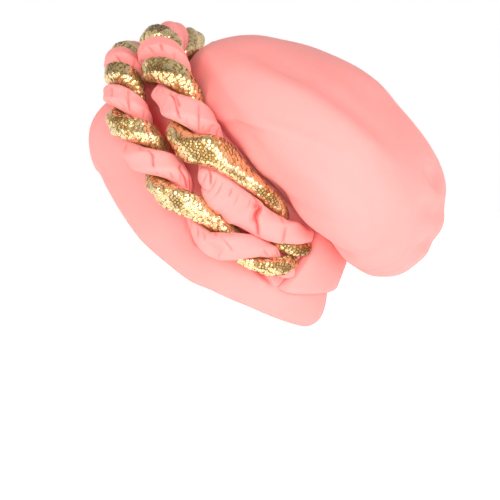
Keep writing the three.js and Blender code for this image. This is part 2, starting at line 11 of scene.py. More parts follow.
import bpy
import numpy as np
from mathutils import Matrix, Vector


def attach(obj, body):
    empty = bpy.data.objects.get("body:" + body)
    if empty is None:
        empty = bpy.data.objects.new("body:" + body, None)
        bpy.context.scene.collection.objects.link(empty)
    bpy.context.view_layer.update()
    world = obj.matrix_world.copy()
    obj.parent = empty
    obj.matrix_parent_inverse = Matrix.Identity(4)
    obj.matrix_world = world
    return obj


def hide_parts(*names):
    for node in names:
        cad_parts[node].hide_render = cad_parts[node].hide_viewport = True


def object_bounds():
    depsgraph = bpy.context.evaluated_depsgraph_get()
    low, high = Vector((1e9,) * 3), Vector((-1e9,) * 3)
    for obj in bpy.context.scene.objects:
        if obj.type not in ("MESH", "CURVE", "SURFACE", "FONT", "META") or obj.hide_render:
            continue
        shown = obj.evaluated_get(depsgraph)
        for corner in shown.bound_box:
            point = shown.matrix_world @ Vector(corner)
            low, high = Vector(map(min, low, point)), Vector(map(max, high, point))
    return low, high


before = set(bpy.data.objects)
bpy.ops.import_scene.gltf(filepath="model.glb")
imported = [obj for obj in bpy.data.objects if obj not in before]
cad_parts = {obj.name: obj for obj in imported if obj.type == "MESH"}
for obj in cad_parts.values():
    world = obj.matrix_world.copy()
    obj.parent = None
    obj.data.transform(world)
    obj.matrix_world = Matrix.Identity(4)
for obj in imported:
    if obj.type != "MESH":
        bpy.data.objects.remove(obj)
cad_low, cad_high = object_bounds()
MM = 0.001
print("nodes:", sorted(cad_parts))

# %% [markdown]
# ## Camera
# The cap is seen from the wearer's left, a little from the front, at head height. A long lens
# from 1.5 m keeps the outline as flat as in a shop picture. The aim point is off the origin
# because the crown hangs far out to one side.

# %% Set the camera
VIEW_AZIMUTH, VIEW_ELEVATION = 107.0, 3.0
VIEW_DISTANCE = 1.5
VIEW_LENS, VIEW_SENSOR = 130.1, 36.0
AIM_RIGHT, AIM_UP = 0.0365, -0.0025


def outward(azimuth, elevation):
    """The way from the cap to a place round it: azimuth 0 is before the face, 90 at the left."""
    a, e = math.radians(azimuth), math.radians(elevation)
    return Vector((math.sin(a) * math.cos(e), -math.cos(a) * math.cos(e), math.sin(e)))


def add(name, data):
    """A new object in the scene, with this data."""
    made = bpy.data.objects.new(name, data)
    bpy.context.scene.collection.objects.link(made)
    return made


def set_camera():
    azimuth = math.radians(VIEW_AZIMUTH)
    back = outward(VIEW_AZIMUTH, VIEW_ELEVATION)
    right = Vector((math.cos(azimuth), math.sin(azimuth), 0))
    up = back.cross(right)
    data = bpy.data.cameras.new("camera")
    data.lens = VIEW_LENS
    data.sensor_width = VIEW_SENSOR
    camera = add("camera", data)
    camera.location = right * AIM_RIGHT + up * AIM_UP + back * VIEW_DISTANCE
    camera.rotation_euler = back.to_track_quat("Z", "Y").to_euler()
    bpy.context.scene.camera = camera
    print("camera at", [round(v, 3) for v in camera.location])


set_camera()

# %% [markdown]
# ## The head form
# Headband, panel and ropes all follow one rounded head. A formula gives its radius in any
# direction: a flattened ball whose plan is a little squarer than an ellipse. A direction is
# named by its turn from the face and its rise above the level of the ears.

# %% Head form
HEAD_CENTRE = np.array([0.0, 5.0, 50.0])
HEAD_HALF_WIDTH, HEAD_FRONT, HEAD_BACK = 79.0, 97.0, 112.0
HEAD_UP, HEAD_DOWN = 100.0, 148.0
PLAN_ROUNDNESS, RISE_ROUNDNESS = 2.3, 2.8
BROW_SWELL, BROW_RISE, BROW_SPAN, BROW_TURN, BROW_FADE = 8.0, 26.0, 23.0, 78.0, 1.2
NAPE_HOLLOW, NAPE_RISE, NAPE_SPAN, NAPE_TURN, NAPE_SPREAD = 6.5, -16.0, 26.0, 128.0, 45.0
NORMAL_STEP, NORMAL_STANDOFF, NEAR_POLE = 0.02, 10.0, 0.9


def unit(v):
    return v / np.maximum(np.linalg.norm(v, axis=-1, keepdims=True), 1e-12)


def smoothstep(x):
    t = np.clip(x, 0, 1)
    return t * t * (3 - 2 * t)


def signed_power(x, power):
    return np.sign(x) * np.abs(x) ** power


def direction(turn, rise):
    t, r = np.radians(turn), np.radians(rise)
    return np.stack([np.cos(r) * np.sin(t), -np.cos(r) * np.cos(t), np.sin(r)], -1)


def form_radius(d, standoff):
    across, along, up = np.moveaxis(np.abs(d), -1, 0)
    half = HEAD_HALF_WIDTH + standoff
    length = np.where(d[..., 1] < 0, HEAD_FRONT, HEAD_BACK) + standoff
    height = np.where(d[..., 2] < 0, HEAD_DOWN, HEAD_UP) + standoff
    plan = (across / half) ** PLAN_ROUNDNESS + (along / length) ** PLAN_ROUNDNESS
    whole = plan ** (RISE_ROUNDNESS / PLAN_ROUNDNESS) + (up / height) ** RISE_ROUNDNESS
    return whole ** (-1 / RISE_ROUNDNESS)


def turn_and_rise(d):
    return (np.degrees(np.abs(np.arctan2(d[..., 0], -d[..., 1]))),
            np.degrees(np.arcsin(np.clip(d[..., 2], -1, 1))))


def head_swell(d):
    turn, rise = turn_and_rise(d)
    up = np.clip((rise - BROW_RISE) / BROW_SPAN, -1, 1)
    side = np.clip(turn / BROW_TURN, 0, 1)
    brow = BROW_SWELL * np.cos(up * np.pi / 2) ** 2 * np.cos(side * np.pi / 2) ** BROW_FADE
    low = smoothstep((NAPE_RISE - rise) / NAPE_SPAN)
    return brow - NAPE_HOLLOW * (low * smoothstep((turn - NAPE_TURN) / NAPE_SPREAD))


def on_head(d, standoff):
    return HEAD_CENTRE + d * form_radius(d, standoff + head_swell(d))[..., None]


# %% Normals of the form
def form_normal(points):
    d = unit(points - HEAD_CENTRE)
    flat = np.where(np.abs(d[..., 2:3]) > NEAR_POLE, [1.0, 0, 0], [0, 0, 1.0])
    side = unit(np.cross(d, flat))
    up = np.cross(side, d)

    def at(s, u):
        q = unit(d + side * s + up * u)
        return q * form_radius(q, NORMAL_STANDOFF)[..., None]

    h = NORMAL_STEP
    n = unit(np.cross(at(h, 0) - at(-h, 0), at(0, h) - at(0, -h)))
    return n * np.sign((n * d).sum(-1, keepdims=True))


ear = on_head(direction(90, 0), 0)
print("head form at the ear:", ear.round(1), "faces", form_normal(ear).round(2))

# %% [markdown]
# ## Making meshes
# Every cloth piece here is a grid of points: rows along it and columns round it. A wall of cloth
# is two such grids, an outer and an inner one, joined at their borders, so each mesh is one
# closed body. The grids are numpy arrays, because folds are then plain sums over whole arrays.

# %% Grid helpers
def link_mesh(name, points, faces, smooth=True):
    mesh = bpy.data.meshes.new(name)
    mesh.from_pydata((np.asarray(points) * MM).tolist(), [], faces)
    mesh.polygons.foreach_set("use_smooth", [smooth] * len(mesh.polygons))
    mesh.update()
    return add(name, mesh)


def quads(rows, columns, wrap, start=0, flip=False):
    r, c = np.indices((rows - 1, columns if wrap else columns - 1))
    d = (c + 1) % columns
    low, high = r * columns, (r + 1) * columns
    four = np.stack([low + c, low + d, high + d, high + c], -1).reshape(-1, 4) + start
    return (four[:, ::-1] if flip else four).tolist()


def grid_normals(p, wrap=True):
    along = np.gradient(p, axis=0)
    if wrap:
        around = np.roll(p, -1, 1) - np.roll(p, 1, 1)
    else:
        around = np.gradient(p, axis=1)
    return unit(np.cross(around, along))


print("faces of a ring stack, 3 by 4 points:", len(quads(3, 4, True)))

# %% [markdown]
# ## Reading tables and curves
# The photograph is read as short tables: a row for each place, with its values in named columns.
# Smooth curves through those rows give as many points as a mesh needs, and soft seeded waves
# keep large surfaces from looking machined.

# %% Tables and curves
def table(columns, *rows):
    """Rows with values under named columns; "lip=0" also names the value of a row without one."""
    names, usual = zip(*(column.partition("=")[::2] for column in columns.split()))
    return [dict(zip(names, (*row, *map(float, usual[len(row):])))) for row in rows]


def spread(rows, column, key, at):
    """A smooth reading of a table column at the keys, with slopes across the neighbouring rows."""
    keys = np.array([row[key] for row in rows], float)
    values = np.array([row[column] for row in rows], float)
    here = np.arange(len(keys))
    low, high = np.maximum(here - 1, 0), np.minimum(here + 1, len(keys) - 1)
    slopes = (values[high] - values[low]) / (keys[high] - keys[low])
    i = np.clip(np.searchsorted(keys, at, side="right") - 1, 0, len(keys) - 2)
    span = keys[i + 1] - keys[i]
    t = np.clip((at - keys[i]) / span, 0, 1)
    return ((2 * t**3 - 3 * t**2 + 1) * values[i] + (t**3 - 2 * t**2 + t) * span * slopes[i]
            + (3 * t**2 - 2 * t**3) * values[i + 1] + (t**3 - t**2) * span * slopes[i + 1])


def centripetal(points, t):
    """A centripetal Catmull-Rom curve through the points, t from 0 to 1."""
    padded = np.concatenate([2 * points[:1] - points[1:2], points, 2 * points[-1:] - points[-2:-1]])
    at = np.asarray(t) * (len(points) - 1)
    i = np.clip(np.floor(at).astype(int), 0, len(points) - 2)
    w = (at - i)[:, None]
    p0, p1, p2, p3 = padded[i], padded[i + 1], padded[i + 2], padded[i + 3]

    def gap(a, b):
        return np.sqrt(np.linalg.norm(b - a, axis=-1, keepdims=True))

    g0, g1, g2 = gap(p0, p1), gap(p1, p2), gap(p2, p3)
    m1 = ((p1 - p0) / g0 - (p2 - p0) / (g0 + g1) + (p2 - p1) / g1) * g1
    m2 = ((p2 - p1) / g1 - (p3 - p1) / (g1 + g2) + (p3 - p2) / g2) * g1
    return (p1 + m1 * w + (3 * (p2 - p1) - 2 * m1 - m2) * w**2 + (2 * (p1 - p2) + m1 + m2) * w**3)


squares = table("x square", (0, 0), (1, 1), (2, 4), (3, 9))
print("read between the rows:", spread(squares, "square", "x", np.array([1.5, 2.5])))

# %% Soft unevenness, and places on a grid
WAVE_COUNT, WAVE_STRETCH = 12, (0.7, 1.6)


def waves(points, size, seed):
    """A soft, seeded unevenness from -1 to 1 over space, with waves about as long as size."""
    random = np.random.default_rng(seed)
    total = np.zeros(points.shape[:-1])
    for _ in range(WAVE_COUNT):
        heading = unit(random.normal(0, 1, 3)) * 2 * np.pi / (size * random.uniform(*WAVE_STRETCH))
        total += np.sin(points @ heading + random.uniform(0, 2 * np.pi))
    return total / np.abs(total).max()


def on_grid(grid, rows, columns):
    """Points of a grid that closes round its columns, between its rows and columns."""
    high, wide = grid.shape[:2]
    r = np.clip(np.asarray(rows, float), 0, high - 1.001)  # just inside the last row
    c = np.asarray(columns, float) % wide
    i, j = np.floor(r).astype(int), np.floor(c).astype(int)
    a, b = (r - i)[:, None], (c - j)[:, None]
    k = (j + 1) % wide
    return ((grid[i, j] * (1 - b) + grid[i, k] * b) * (1 - a)
            + (grid[i + 1, j] * (1 - b) + grid[i + 1, k] * b) * a)


# %% [markdown]
# ## Pressing folds
# Cloth is dressed by pressing lines into it. Each line has a width and a depth, fades out at its
# ends and may push up a small lip beside it, as a real crease does. A negative depth raises a
# soft ridge instead. Only points that face the same way as the line are moved. A line may also
# record painted shade: how deep each point lies in it, which the cloth finish paints deep red.

# %% Pressing a line into a grid
LINE_READINGS = 48
LINE_REACH, SAME_SIDE = 3, 1.6
LIP_PLACE, LIP_SPREAD = 1.7, 0.45
FULL_SHADE_DEPTH, SHADE_NARROW = 1.5, 1.3


def press(grid, line, width, depth, lip=0.0, wrap=True, ends=0.5, painted_shade=None):
    line = np.asarray(line, float)
    line = centripetal(line, np.linspace(0, 1, LINE_READINGS)) if len(line) > 1 else line
    normals = grid_normals(grid, wrap)
    flat, facing = grid.reshape(-1, 3), normals.reshape(-1, 3)
    reach = LINE_REACH * width
    near = np.where(np.all((flat > line.min(0) - reach) & (flat < line.max(0) + reach), axis=1))[0]
    if len(near) == 0:
        return grid
    apart = np.linalg.norm(flat[near][:, None] - line[None], axis=-1)
    line_facing = facing[near[apart.argmin(0)]]
    k = apart.argmin(1)
    away = apart.min(1) / width
    along = np.sin(np.pi * (k + 0.5) / len(line)) ** ends if len(line) > 1 else 1.0
    same = np.clip((facing[near] * line_facing[k]).sum(-1) * SAME_SIDE, 0, 1)
    shape = np.exp(-away**2) - lip * np.exp(-((away - LIP_PLACE) / LIP_SPREAD) ** 2)
    moved = flat.copy()
    moved[near] -= facing[near] * (depth * shape * along * same)[:, None]
    # Painted shade: record how deep each point lies in the line, for the finish to darken.
    if painted_shade is not None:
        painted_shades = painted_shade.reshape(-1)
        new = np.exp(-(away * SHADE_NARROW) ** 2) * along * same * min(depth / FULL_SHADE_DEPTH, 1)
        painted_shades[near] = np.maximum(painted_shades[near], new)
    return moved.reshape(grid.shape)


def press_both_sides(grid, folds, place, painted_shade, lip=0.0, wrap=True):
    """Press each fold and its mirror image; place reads the fold's two columns as points."""
    for fold in folds:
        turns, ups = np.array(fold["line"], float).T
        for side in (1, -1):
            grid = press(grid, place(grid, side * turns, ups), fold["width"], fold["depth"],
                         lip, wrap, painted_shade=painted_shade if fold["marked"] else None)
    return grid


def keep_painted_shade(piece, painted_shade):
    """Store how deep each point lies in a fold, as painted shade that the finish darkens toward
    deep red.
    """
    values = np.zeros(len(piece.data.vertices), np.float32)
    values[:painted_shade.size] = painted_shade.reshape(-1)
    piece.data.attributes.new("fold", "FLOAT", "POINT").data.foreach_set("value", values)


sheet = np.dstack([*np.indices((21, 21)), np.zeros((21, 21))])
sheet = press(sheet, [(5, 10, 0), (10, 10, 0), (15, 10, 0)], width=2, depth=1.5, wrap=False)
print("a line 1.5 deep moves a flat sheet by", np.abs(sheet[..., 2]).max().round(2))

# %% [markdown]
# ## Headband
# A wide band of doubled cloth, tight on the forehead and over the ear. Its lower border is a
# turned hem, its upper border is the seam with the crown, which lies on one leaning plane. Each
# column of points swings from the hem to the seam along the shortest way over the head.

# %% Hem and folds of the band
BAND_WALL = 2.4
HEM_TUCK, HEM_TUCK_SHARE = 2.2, 0.1
BAND_CROWDING, BAND_LIP = 1.3, 0.15
SEAM_REACH, SEAM_HALVINGS = 200.0, 40
SEAM_POINT = np.array([0.0, 53.5, 78.5])
SEAM_LEAN = math.radians(47.46)
SEAM_UP = np.array([0.0, -math.cos(SEAM_LEAN), math.sin(SEAM_LEAN)])
SEAM_NORMAL = np.array([0.0, math.sin(SEAM_LEAN), math.cos(SEAM_LEAN)])
HEM = table("turn rise",
    (0, 9), (15, 8.6), (29, 7), (37.8, 0.3), (44.3, -6), (54, -17), (63.7, -27.2), (77.7, -37),
    (93.3, -44.8), (109, -47.6), (120, -49), (131, -49.8), (142, -50.8), (156, -51.9),
    (168, -52.9), (180, -53.4))
BAND_COLUMNS, BAND_LINES = 480, 66
NAPE_FLARE, NAPE_SHARE, FLARE_STEEP = 5.0, 0.42, 1.3
# Every band fold also paints shade into the cloth, the gap between the ropes most widely.
BAND_FOLDS = table("line width depth marked=1",
    # round the lower edge of the front rope, where it bears on the band
    ([(95.5, -13), (96, -17), (96.5, -22), (97.5, -26.5), (99, -29), (101.5, -30.5)], 1.5, 1.2),
    ([(93, -15), (93.4, -20), (94.6, -25)], 1.6, 0.5),
    # from the rope's tail down to the nape panel
    ([(127, -33.5), (130.5, -35.5), (134, -37.2), (138, -39.3), (142, -41.5)], 2.0, 1.5),
    # the deep gap between the two ropes, darkened with painted shade
    ([(57, 50), (61, 46.5), (65, 43), (68.5, 39.5), (71.5, 36), (75, 32.5), (82, 25), (88, 17),
      (91.5, 11), (94.5, 5), (97.5, -1)], 9, 1.5),
    # little gathers under the sequinned lobes
    ([(59.5, 22), (60.6, 18.5)], 1.2, 0.6),
    ([(62.4, 21.5), (64, 17)], 1.2, 0.8),
    ([(66.3, 20.5), (67.6, 17)], 1.2, 0.6),
    ([(76.5, 5), (78.0, 1)], 1.2, 0.7),
    ([(79.5, 4), (81.5, -1)], 1.2, 0.6),
    ([(83, 4), (84.8, 0)], 1.2, 0.8),
    ([(89, 3.5), (91, -1)], 1.2, 0.7),
    ([(92, 2), (94.5, -3)], 1.2, 0.6))
print("hem rows and folds of the band:", len(HEM), len(BAND_FOLDS))

# %% [markdown]
# ## Sewing the band
# The seam between band and crown is the line where one slanting plane cuts the head form. The
# band is a doubled cloth, so it gets an outer and an inner face, and its folds are pressed into
# the outer one alone.

# %% Seam and cloth wall
def seam_points(around, lift):
    """Where rays in the seam plane leave the head form, found by halving their length."""
    a = np.radians(around)[..., None]
    ray = SEAM_UP * np.cos(a) + np.array([1.0, 0, 0]) * np.sin(a)
    start = SEAM_POINT + SEAM_NORMAL * lift
    near, far = np.zeros(ray.shape[:-1]), np.full(ray.shape[:-1], SEAM_REACH)
    for _ in range(SEAM_HALVINGS):
        mid = (near + far) / 2
        v = start + ray * mid[..., None] - HEAD_CENTRE
        reach = np.linalg.norm(v, axis=-1)
        inside = reach < form_radius(v / reach[..., None], 0)
        near, far = np.where(inside, mid, near), np.where(inside, far, mid)
    return start + ray * near[..., None]


def cloth_wall(name, outer, inner, pole=None, inner_pole=None):
    """A closed body between two ring stacks, with a pole at the last end or open at both ends."""
    rows, columns = outer.shape[:2]
    inside = rows * columns
    points = [outer.reshape(-1, 3), inner.reshape(-1, 3)]
    faces = quads(rows, columns, True) + quads(rows, columns, True, inside, flip=True)
    last = (rows - 1) * columns
    for c in range(columns):
        d = (c + 1) % columns
        faces.append([inside + c, inside + d, d, c])
        if pole is None:
            faces.append([last + c, last + d, inside + last + d, inside + last + c])
        else:
            faces.append([last + c, last + d, 2 * inside])
            faces.append([inside + last + d, inside + last + c, 2 * inside + 1])
    if pole is not None:
        points += [pole[None], inner_pole[None]]
    return link_mesh(name, np.concatenate(points), faces)


# %% Headband
def make_headband():
    around = np.arange(BAND_COLUMNS) * 360 / BAND_COLUMNS
    turn = np.where(around <= 180, around, around - 360)
    low = direction(turn, spread(HEM, "rise", "turn", np.abs(turn)))
    high = unit(seam_points(around, 0) - HEAD_CENTRE)
    angle = np.arccos(np.clip((low * high).sum(-1), -1, 1))
    share = np.linspace(0, 1, BAND_LINES)[:, None] ** BAND_CROWDING
    d = unit(low * (np.sin((1 - share) * angle) / np.sin(angle))[..., None]
             + high * (np.sin(share * angle) / np.sin(angle))[..., None])
    tuck = HEM_TUCK * np.maximum(0, 1 - share / HEM_TUCK_SHARE) ** 2
    flare = (NAPE_FLARE * smoothstep((np.abs(turn) - NAPE_TURN) / NAPE_SPREAD)
             * smoothstep((NAPE_SHARE - share) / NAPE_SHARE * FLARE_STEEP))
    reach = form_radius(d, head_swell(d) - tuck + flare)
    outer = HEAD_CENTRE + d * reach[..., None]
    inner = HEAD_CENTRE + d * (reach - BAND_WALL)[..., None]
    painted_shade = np.zeros(outer.shape[:2])

    def place(grid, turns, rises):
        toward = direction(turns, rises)
        return on_head(toward, head_swell(toward))

    outer = press_both_sides(outer, BAND_FOLDS, place, painted_shade, BAND_LIP)
    piece = cloth_wall("band_cloth", outer, inner)
    keep_painted_shade(piece, painted_shade)
    return piece


band = make_headband()
print("headband faces:", len(band.data.polygons))

# %% [markdown]
# ## Crown
# A big round bag gathered onto the band. It is lofted through rings that lean with the seam:
# each ring has its own reach to the top, the side and the rear, and a smooth curve through the
# rings gives as many rows as the folds need.

# %% Crown rings
CROWN_WALL = 2.0
SEAM_GAP = 0.4
CROWN_HEIGHT, CROWN_FRONT, CROWN_REAR, CROWN_HALF_WIDTH = 106.0, 107.0, 147.0, 117.0
LIP_SAG, LIP_SAG_AROUND, LIP_SAG_SPREAD = 5.5, 122.0, 13.0
LIP_SAG_SHARES = (0.9, 1, 0.6, 0.2)
LOW_RINGS, LOW_SQUARENESS, RING_SQUARENESS = 2, 2.1, 2.25
CROWN_RINGS = table("top_rise top side_rise side rear_rise rear",
    (0.075, 0.936, 0.075, 0.728, -0.045, 0.722),
    (0.180, 0.930, 0.18, 0.832, -0.055, 0.835),
    (0.295, 0.890, 0.275, 0.932, -0.005, 0.945),
    (0.415, 0.820, 0.37, 0.985, 0.120, 1.005),
    (0.535, 0.725, 0.48, 1.000, 0.285, 1.020),
    (0.645, 0.595, 0.59, 0.995, 0.465, 1.000),
    (0.745, 0.445, 0.69, 0.960, 0.625, 0.945),
    (0.830, 0.285, 0.78, 0.880, 0.755, 0.855),
    (0.905, 0.125, 0.85, 0.745, 0.850, 0.755),
    (0.960, -0.020, 0.90, 0.560, 0.915, 0.640),
    (0.990, -0.170, 0.94, 0.330, 0.965, 0.510))
CROWN_POLE = dict(rise=0.995, rear=0.27)


def crown_ring(row, k, around):
    a = np.radians(around)
    top, rear = row["top"] * CROWN_FRONT, -row["rear"] * CROWN_REAR
    power = 2 / (LOW_SQUARENESS if k < LOW_RINGS else RING_SQUARENESS)
    cos, sin = signed_power(np.cos(a), power), signed_power(np.sin(a), power)
    end = np.where(np.cos(a) >= 0, row["top_rise"], row["rear_rise"])
    off = (np.degrees(np.arccos(np.cos(a))) - LIP_SAG_AROUND) / LIP_SAG_SPREAD
    sag = LIP_SAG * LIP_SAG_SHARES[k] * np.exp(-off**2 / 2) if k < len(LIP_SAG_SHARES) else 0
    rise = (row["side_rise"] + (end - row["side_rise"]) * np.cos(a) ** 2) * CROWN_HEIGHT - sag
    out = (top + rear) / 2 + (top - rear) / 2 * cos
    across = row["side"] * CROWN_HALF_WIDTH * sin
    return (SEAM_POINT + rise[:, None] * SEAM_NORMAL + out[:, None] * SEAM_UP
            + across[:, None] * np.array([1.0, 0, 0]))


def loft(rings, at):
    """Smooth rows through the rings; at 2.5 is halfway from the third to the fourth."""
    padded = np.concatenate([2 * rings[:1] - rings[1:2], rings, 2 * rings[-1:] - rings[-2:-1]])
    i = np.clip(np.floor(at).astype(int), 0, len(rings) - 2)
    t = (at - i)[:, None, None]
    p, a, b, q = padded[i], padded[i + 1], padded[i + 2], padded[i + 3]
    return 0.5 * (2 * a + (b - p) * t + (2 * p - 5 * a + 4 * b - q) * t**2
                  + (3 * a - p - 3 * b + q) * t**3)


print("crown rings:", len(CROWN_RINGS))

# %% [markdown]
# ## Crown folds
# Cloth that is gathered into a seam stands out in small ribs, which fade a few rings on. Wide
# soft dents then break up the ball, and pressed lines draw the folds seen beside the ropes:
# the shoulder, the runs that leave the seam, and the tight pull at the end of the back rope.

# %% Crown folds
GATHER_DEPTH, GATHER_COUNT, GATHER_SHIFT = 1.6, 11, 0.5
GATHER_FADE = (0, 1, 0.7, 0.3, 0)
CROWN_FOLDS = table("around ring wide tall depth",
    (178, 3.2, 16, 1.1, -2.5),
    (150, 4.6, 9, 2.0, -2.2),
    (210, 4.6, 9, 2.0, -2.2),
    (172, 6.4, 12, 0.8, -2.0),
    (186, 8.4, 14, 0.8, -1.6),
    (118, 8.2, 12, 1.4, -2.2),
    (242, 8.2, 12, 1.4, -2.2),
    (40, 7.2, 13, 1.6, -2.0),
    (320, 7.2, 13, 1.6, -2.0))
CROWN_COLUMNS, CROWN_LINES = 320, 92
CROWN_LAST_RING = 11.88
CROWN_LINES_PRESSED = table("line width depth marked=0",
    # full cloth beside the rope
    ([(38, 0.9), (52, 1.0), (66, 1.1), (80, 1.1), (95, 1.0), (106, 0.9)], 9, -4.5),
    # soft shoulder that parts the top from the side, and the hollow above it
    ([(43, 3.9), (51, 4.8), (63, 6.2), (80, 7.5), (96, 8.0), (110, 8.3), (128, 8.5)], 12, -4.6),
    ([(30, 5.2), (44, 6.6), (62, 8.1), (88, 9.2), (112, 9.6)], 14, 2.6),
    # folds that run out from the seam beside the ropes
    ([(68, 0.7), (75, 1.8), (80, 3.2), (87, 4.9), (96, 6.0)], 5, -2.2),
    ([(73, 0.7), (80, 1.8), (85, 3.2), (93, 4.8)], 5, 1.8),
    ([(96, 0.8), (101, 2.2), (107, 3.8)], 5, 1.5),
    ([(112, 0.8), (117, 2.0), (124, 3.6), (130, 4.8)], 6, 2.0),
    ([(140, 1.2), (143, 2.4), (146, 4.0), (149, 5.2)], 6, 2.6),
    ([(158, 2.0), (161, 3.4), (163, 5.0), (160, 6.4)], 7, 2.8),
    # pulled in tight at the end of the back rope; these two lines also get painted shade
    ([(106, 1.1), (115, 1.0), (122, 0.9), (127, 1.0), (130.5, 1.2), (133, 1.5),
      (135, 2.0)], 6, 2.0, 1),
    ([(134, 1.1), (142, 1.0), (150, 1.0), (156, 1.05), (159, 1.3)], 3, 1.2, 1),
    # wide soft dents on the side and the back
    ([(104, 5.4), (118, 6.4), (134, 7.0)], 11, 1.5),
    ([(150, 7.2), (168, 7.6), (186, 7.2)], 9, 3.0),
    ([(160, 9.4), (180, 9.0), (200, 9.4)], 9, 2.8),
    ([(168, 5.9), (182, 6.1), (197, 5.8)], 7, 2.6))
CROWN_SOFTNESS, CROWN_SOFT_SIZE, CROWN_SOFT_SEED, CROWN_SOFT_FROM = 0.8, 38, 5, 2
print("crown dents and pressed lines:", len(CROWN_FOLDS), len(CROWN_LINES_PRESSED))

# %% [markdown]
# ## Sewing the crown
# The rings are lofted, the gathers, dents and soft unevenness are added along the normals, and
# the lines are pressed last. The inner face follows the outer one at the cloth's thickness.

# %% Crown
def make_crown():
    around = np.arange(CROWN_COLUMNS) * 360 / CROWN_COLUMNS
    rings = [seam_points(around, SEAM_GAP)]
    rings += [crown_ring(row, k, around) for k, row in enumerate(CROWN_RINGS)]
    pole = (SEAM_POINT + SEAM_NORMAL * CROWN_POLE["rise"] * CROWN_HEIGHT
            - SEAM_UP * CROWN_POLE["rear"] * CROWN_REAR)
    rings.append(np.broadcast_to(pole, rings[0].shape))
    ring = np.linspace(0, CROWN_LAST_RING, CROWN_LINES)
    outer = loft(np.array(rings), ring)
    normals = grid_normals(outer)
    level = ring[:, None]
    fade = np.interp(level, range(len(GATHER_FADE)), GATHER_FADE)
    depth = GATHER_DEPTH * fade * (np.cos(np.radians(GATHER_COUNT * around)) - GATHER_SHIFT)
    for fold in CROWN_FOLDS:
        a = (around - fold["around"]) / fold["wide"]
        b = (level - fold["ring"]) / fold["tall"]
        depth = depth + fold["depth"] * np.exp(-(a**2 + b**2) / 2)
    soft = CROWN_SOFTNESS * np.clip(level / CROWN_SOFT_FROM, 0, 1)
    depth = depth + soft * waves(outer, CROWN_SOFT_SIZE, CROWN_SOFT_SEED)
    outer = outer + normals * depth[..., None]
    painted_shade = np.zeros(outer.shape[:2])

    def place(grid, around, levels):
        rows = levels / CROWN_LAST_RING * (CROWN_LINES - 1)
        return on_grid(grid, rows, around / 360 * CROWN_COLUMNS)

    outer = press_both_sides(outer, CROWN_LINES_PRESSED, place, painted_shade)
    normals = grid_normals(outer)
    normals[0] = unit(outer[0] - HEAD_CENTRE)
    inner = outer - normals * CROWN_WALL
    piece = cloth_wall("crown_cloth", outer, inner, pole, pole - SEAM_NORMAL * CROWN_WALL)
    keep_painted_shade(piece, painted_shade)
    return piece


crown = make_crown()
print("crown faces:", len(crown.data.polygons))

# %% [markdown]
# ## Nape panel
# A folded strip over the back of the band. The ropes end under its slanting front edges. It is a
# thin pad: an outer grid, an inner grid on the band and a rim that joins them.

# %% Borders of the panel
PANEL_PAD, REST_GAP = 6.4, 0.5
PANEL_LOWER = table("turn rise",
    (142, -40.3), (146.5, -41), (154, -41.1), (162, -40.8), (171, -40.7), (180, -40.6))
PANEL_UPPER = table("turn rise",
    (157, -15.5), (160.5, -16.5), (165, -18.5), (171, -22), (180, -24))
PANEL_BOW, PANEL_BOW_PLACE, PANEL_BOW_POWER = 2.2, 0.9, 3
PANEL_THIN, PANEL_FOLD_LIFT = 0.12, 0.5
PANEL_ROUND_LOW, PANEL_ROUND_HIGH, PANEL_ROUND_SIDE = (0.16, 0), (0.5, 0.3), (0.08, 0.2)
# Both panel folds also paint shade into the cloth.
PANEL_FOLDS = table("line width depth marked=1",
    ([(157, -17), (160.5, -19.4), (165, -21.2), (166.8, -24.5)], 2.6, 1.5),
    ([(142.5, -38.5), (145.5, -35), (148.5, -32)], 1.2, 0.8))
PANEL_COLUMNS, PANEL_LINES = 161, 45


def panel_border(rows, u):
    keyed = [dict(row, place=i / (len(rows) - 1)) for i, row in enumerate(rows)]
    place = 1 - np.abs(u)
    turn = spread(keyed, "turn", "place", place)
    return np.where(u > 0, turn, 360 - turn), spread(keyed, "rise", "place", place)


# %% Nape panel
def rounded(share, span, least):
    """A quarter round from least at a border to 1 at the span inside it."""
    return least + (1 - least) * np.sqrt(1 - (1 - np.clip(share / span, 0, 1)) ** 2)


def closed_pad(name, outer, inner):
    rows, columns = outer.shape[:2]
    inside = rows * columns
    faces = quads(rows, columns, False) + quads(rows, columns, False, inside, flip=True)
    rim = (list(range(columns)) + [r * columns + columns - 1 for r in range(1, rows)]
           + [(rows - 1) * columns + c for c in range(columns - 2, -1, -1)]
           + [r * columns for r in range(rows - 2, 0, -1)])
    for a, b in zip(rim, rim[1:] + rim[:1]):
        faces.append([b, a, inside + a, inside + b])
    return link_mesh(name, np.concatenate([outer.reshape(-1, 3), inner.reshape(-1, 3)]), faces)


def make_panel():
    u = np.linspace(-1, 1, PANEL_COLUMNS)
    share = np.linspace(0, 1, PANEL_LINES)[:, None]
    low_turn, low_rise = panel_border(PANEL_LOWER, u)
    high_turn, high_rise = panel_border(PANEL_UPPER, u)
    bow = PANEL_BOW * signed_power(u, PANEL_BOW_POWER) * np.sin(np.pi * share**PANEL_BOW_PLACE)
    d = direction(low_turn + (high_turn - low_turn) * share + bow,
                  low_rise + (high_rise - low_rise) * share)
    full = (rounded(share, *PANEL_ROUND_LOW) * rounded(1 - share, *PANEL_ROUND_HIGH)
            * rounded(1 - np.abs(u), *PANEL_ROUND_SIDE))
    pad = PANEL_PAD * (PANEL_THIN + (1 - PANEL_THIN) * full)
    outer, painted_shade = on_head(d, REST_GAP + pad), np.zeros(pad.shape)

    def place(grid, turns, rises):
        return on_head(direction(turns, rises), REST_GAP + PANEL_PAD * PANEL_FOLD_LIFT)

    outer = press_both_sides(outer, PANEL_FOLDS, place, painted_shade, wrap=False)
    piece = closed_pad("panel_cloth", outer, on_head(d, REST_GAP))
    keep_painted_shade(piece, painted_shade)
    return piece


panel = make_panel()
print("panel faces:", len(panel.data.polygons))

# %% [markdown]
# ## Rope lines
# Each rope follows a few chosen points over the head, from ear to ear. A curve through them is
# walked in equal steps, and at every step the rope has a frame: along, out from the head, and
# across. A phase says which strand faces out there.

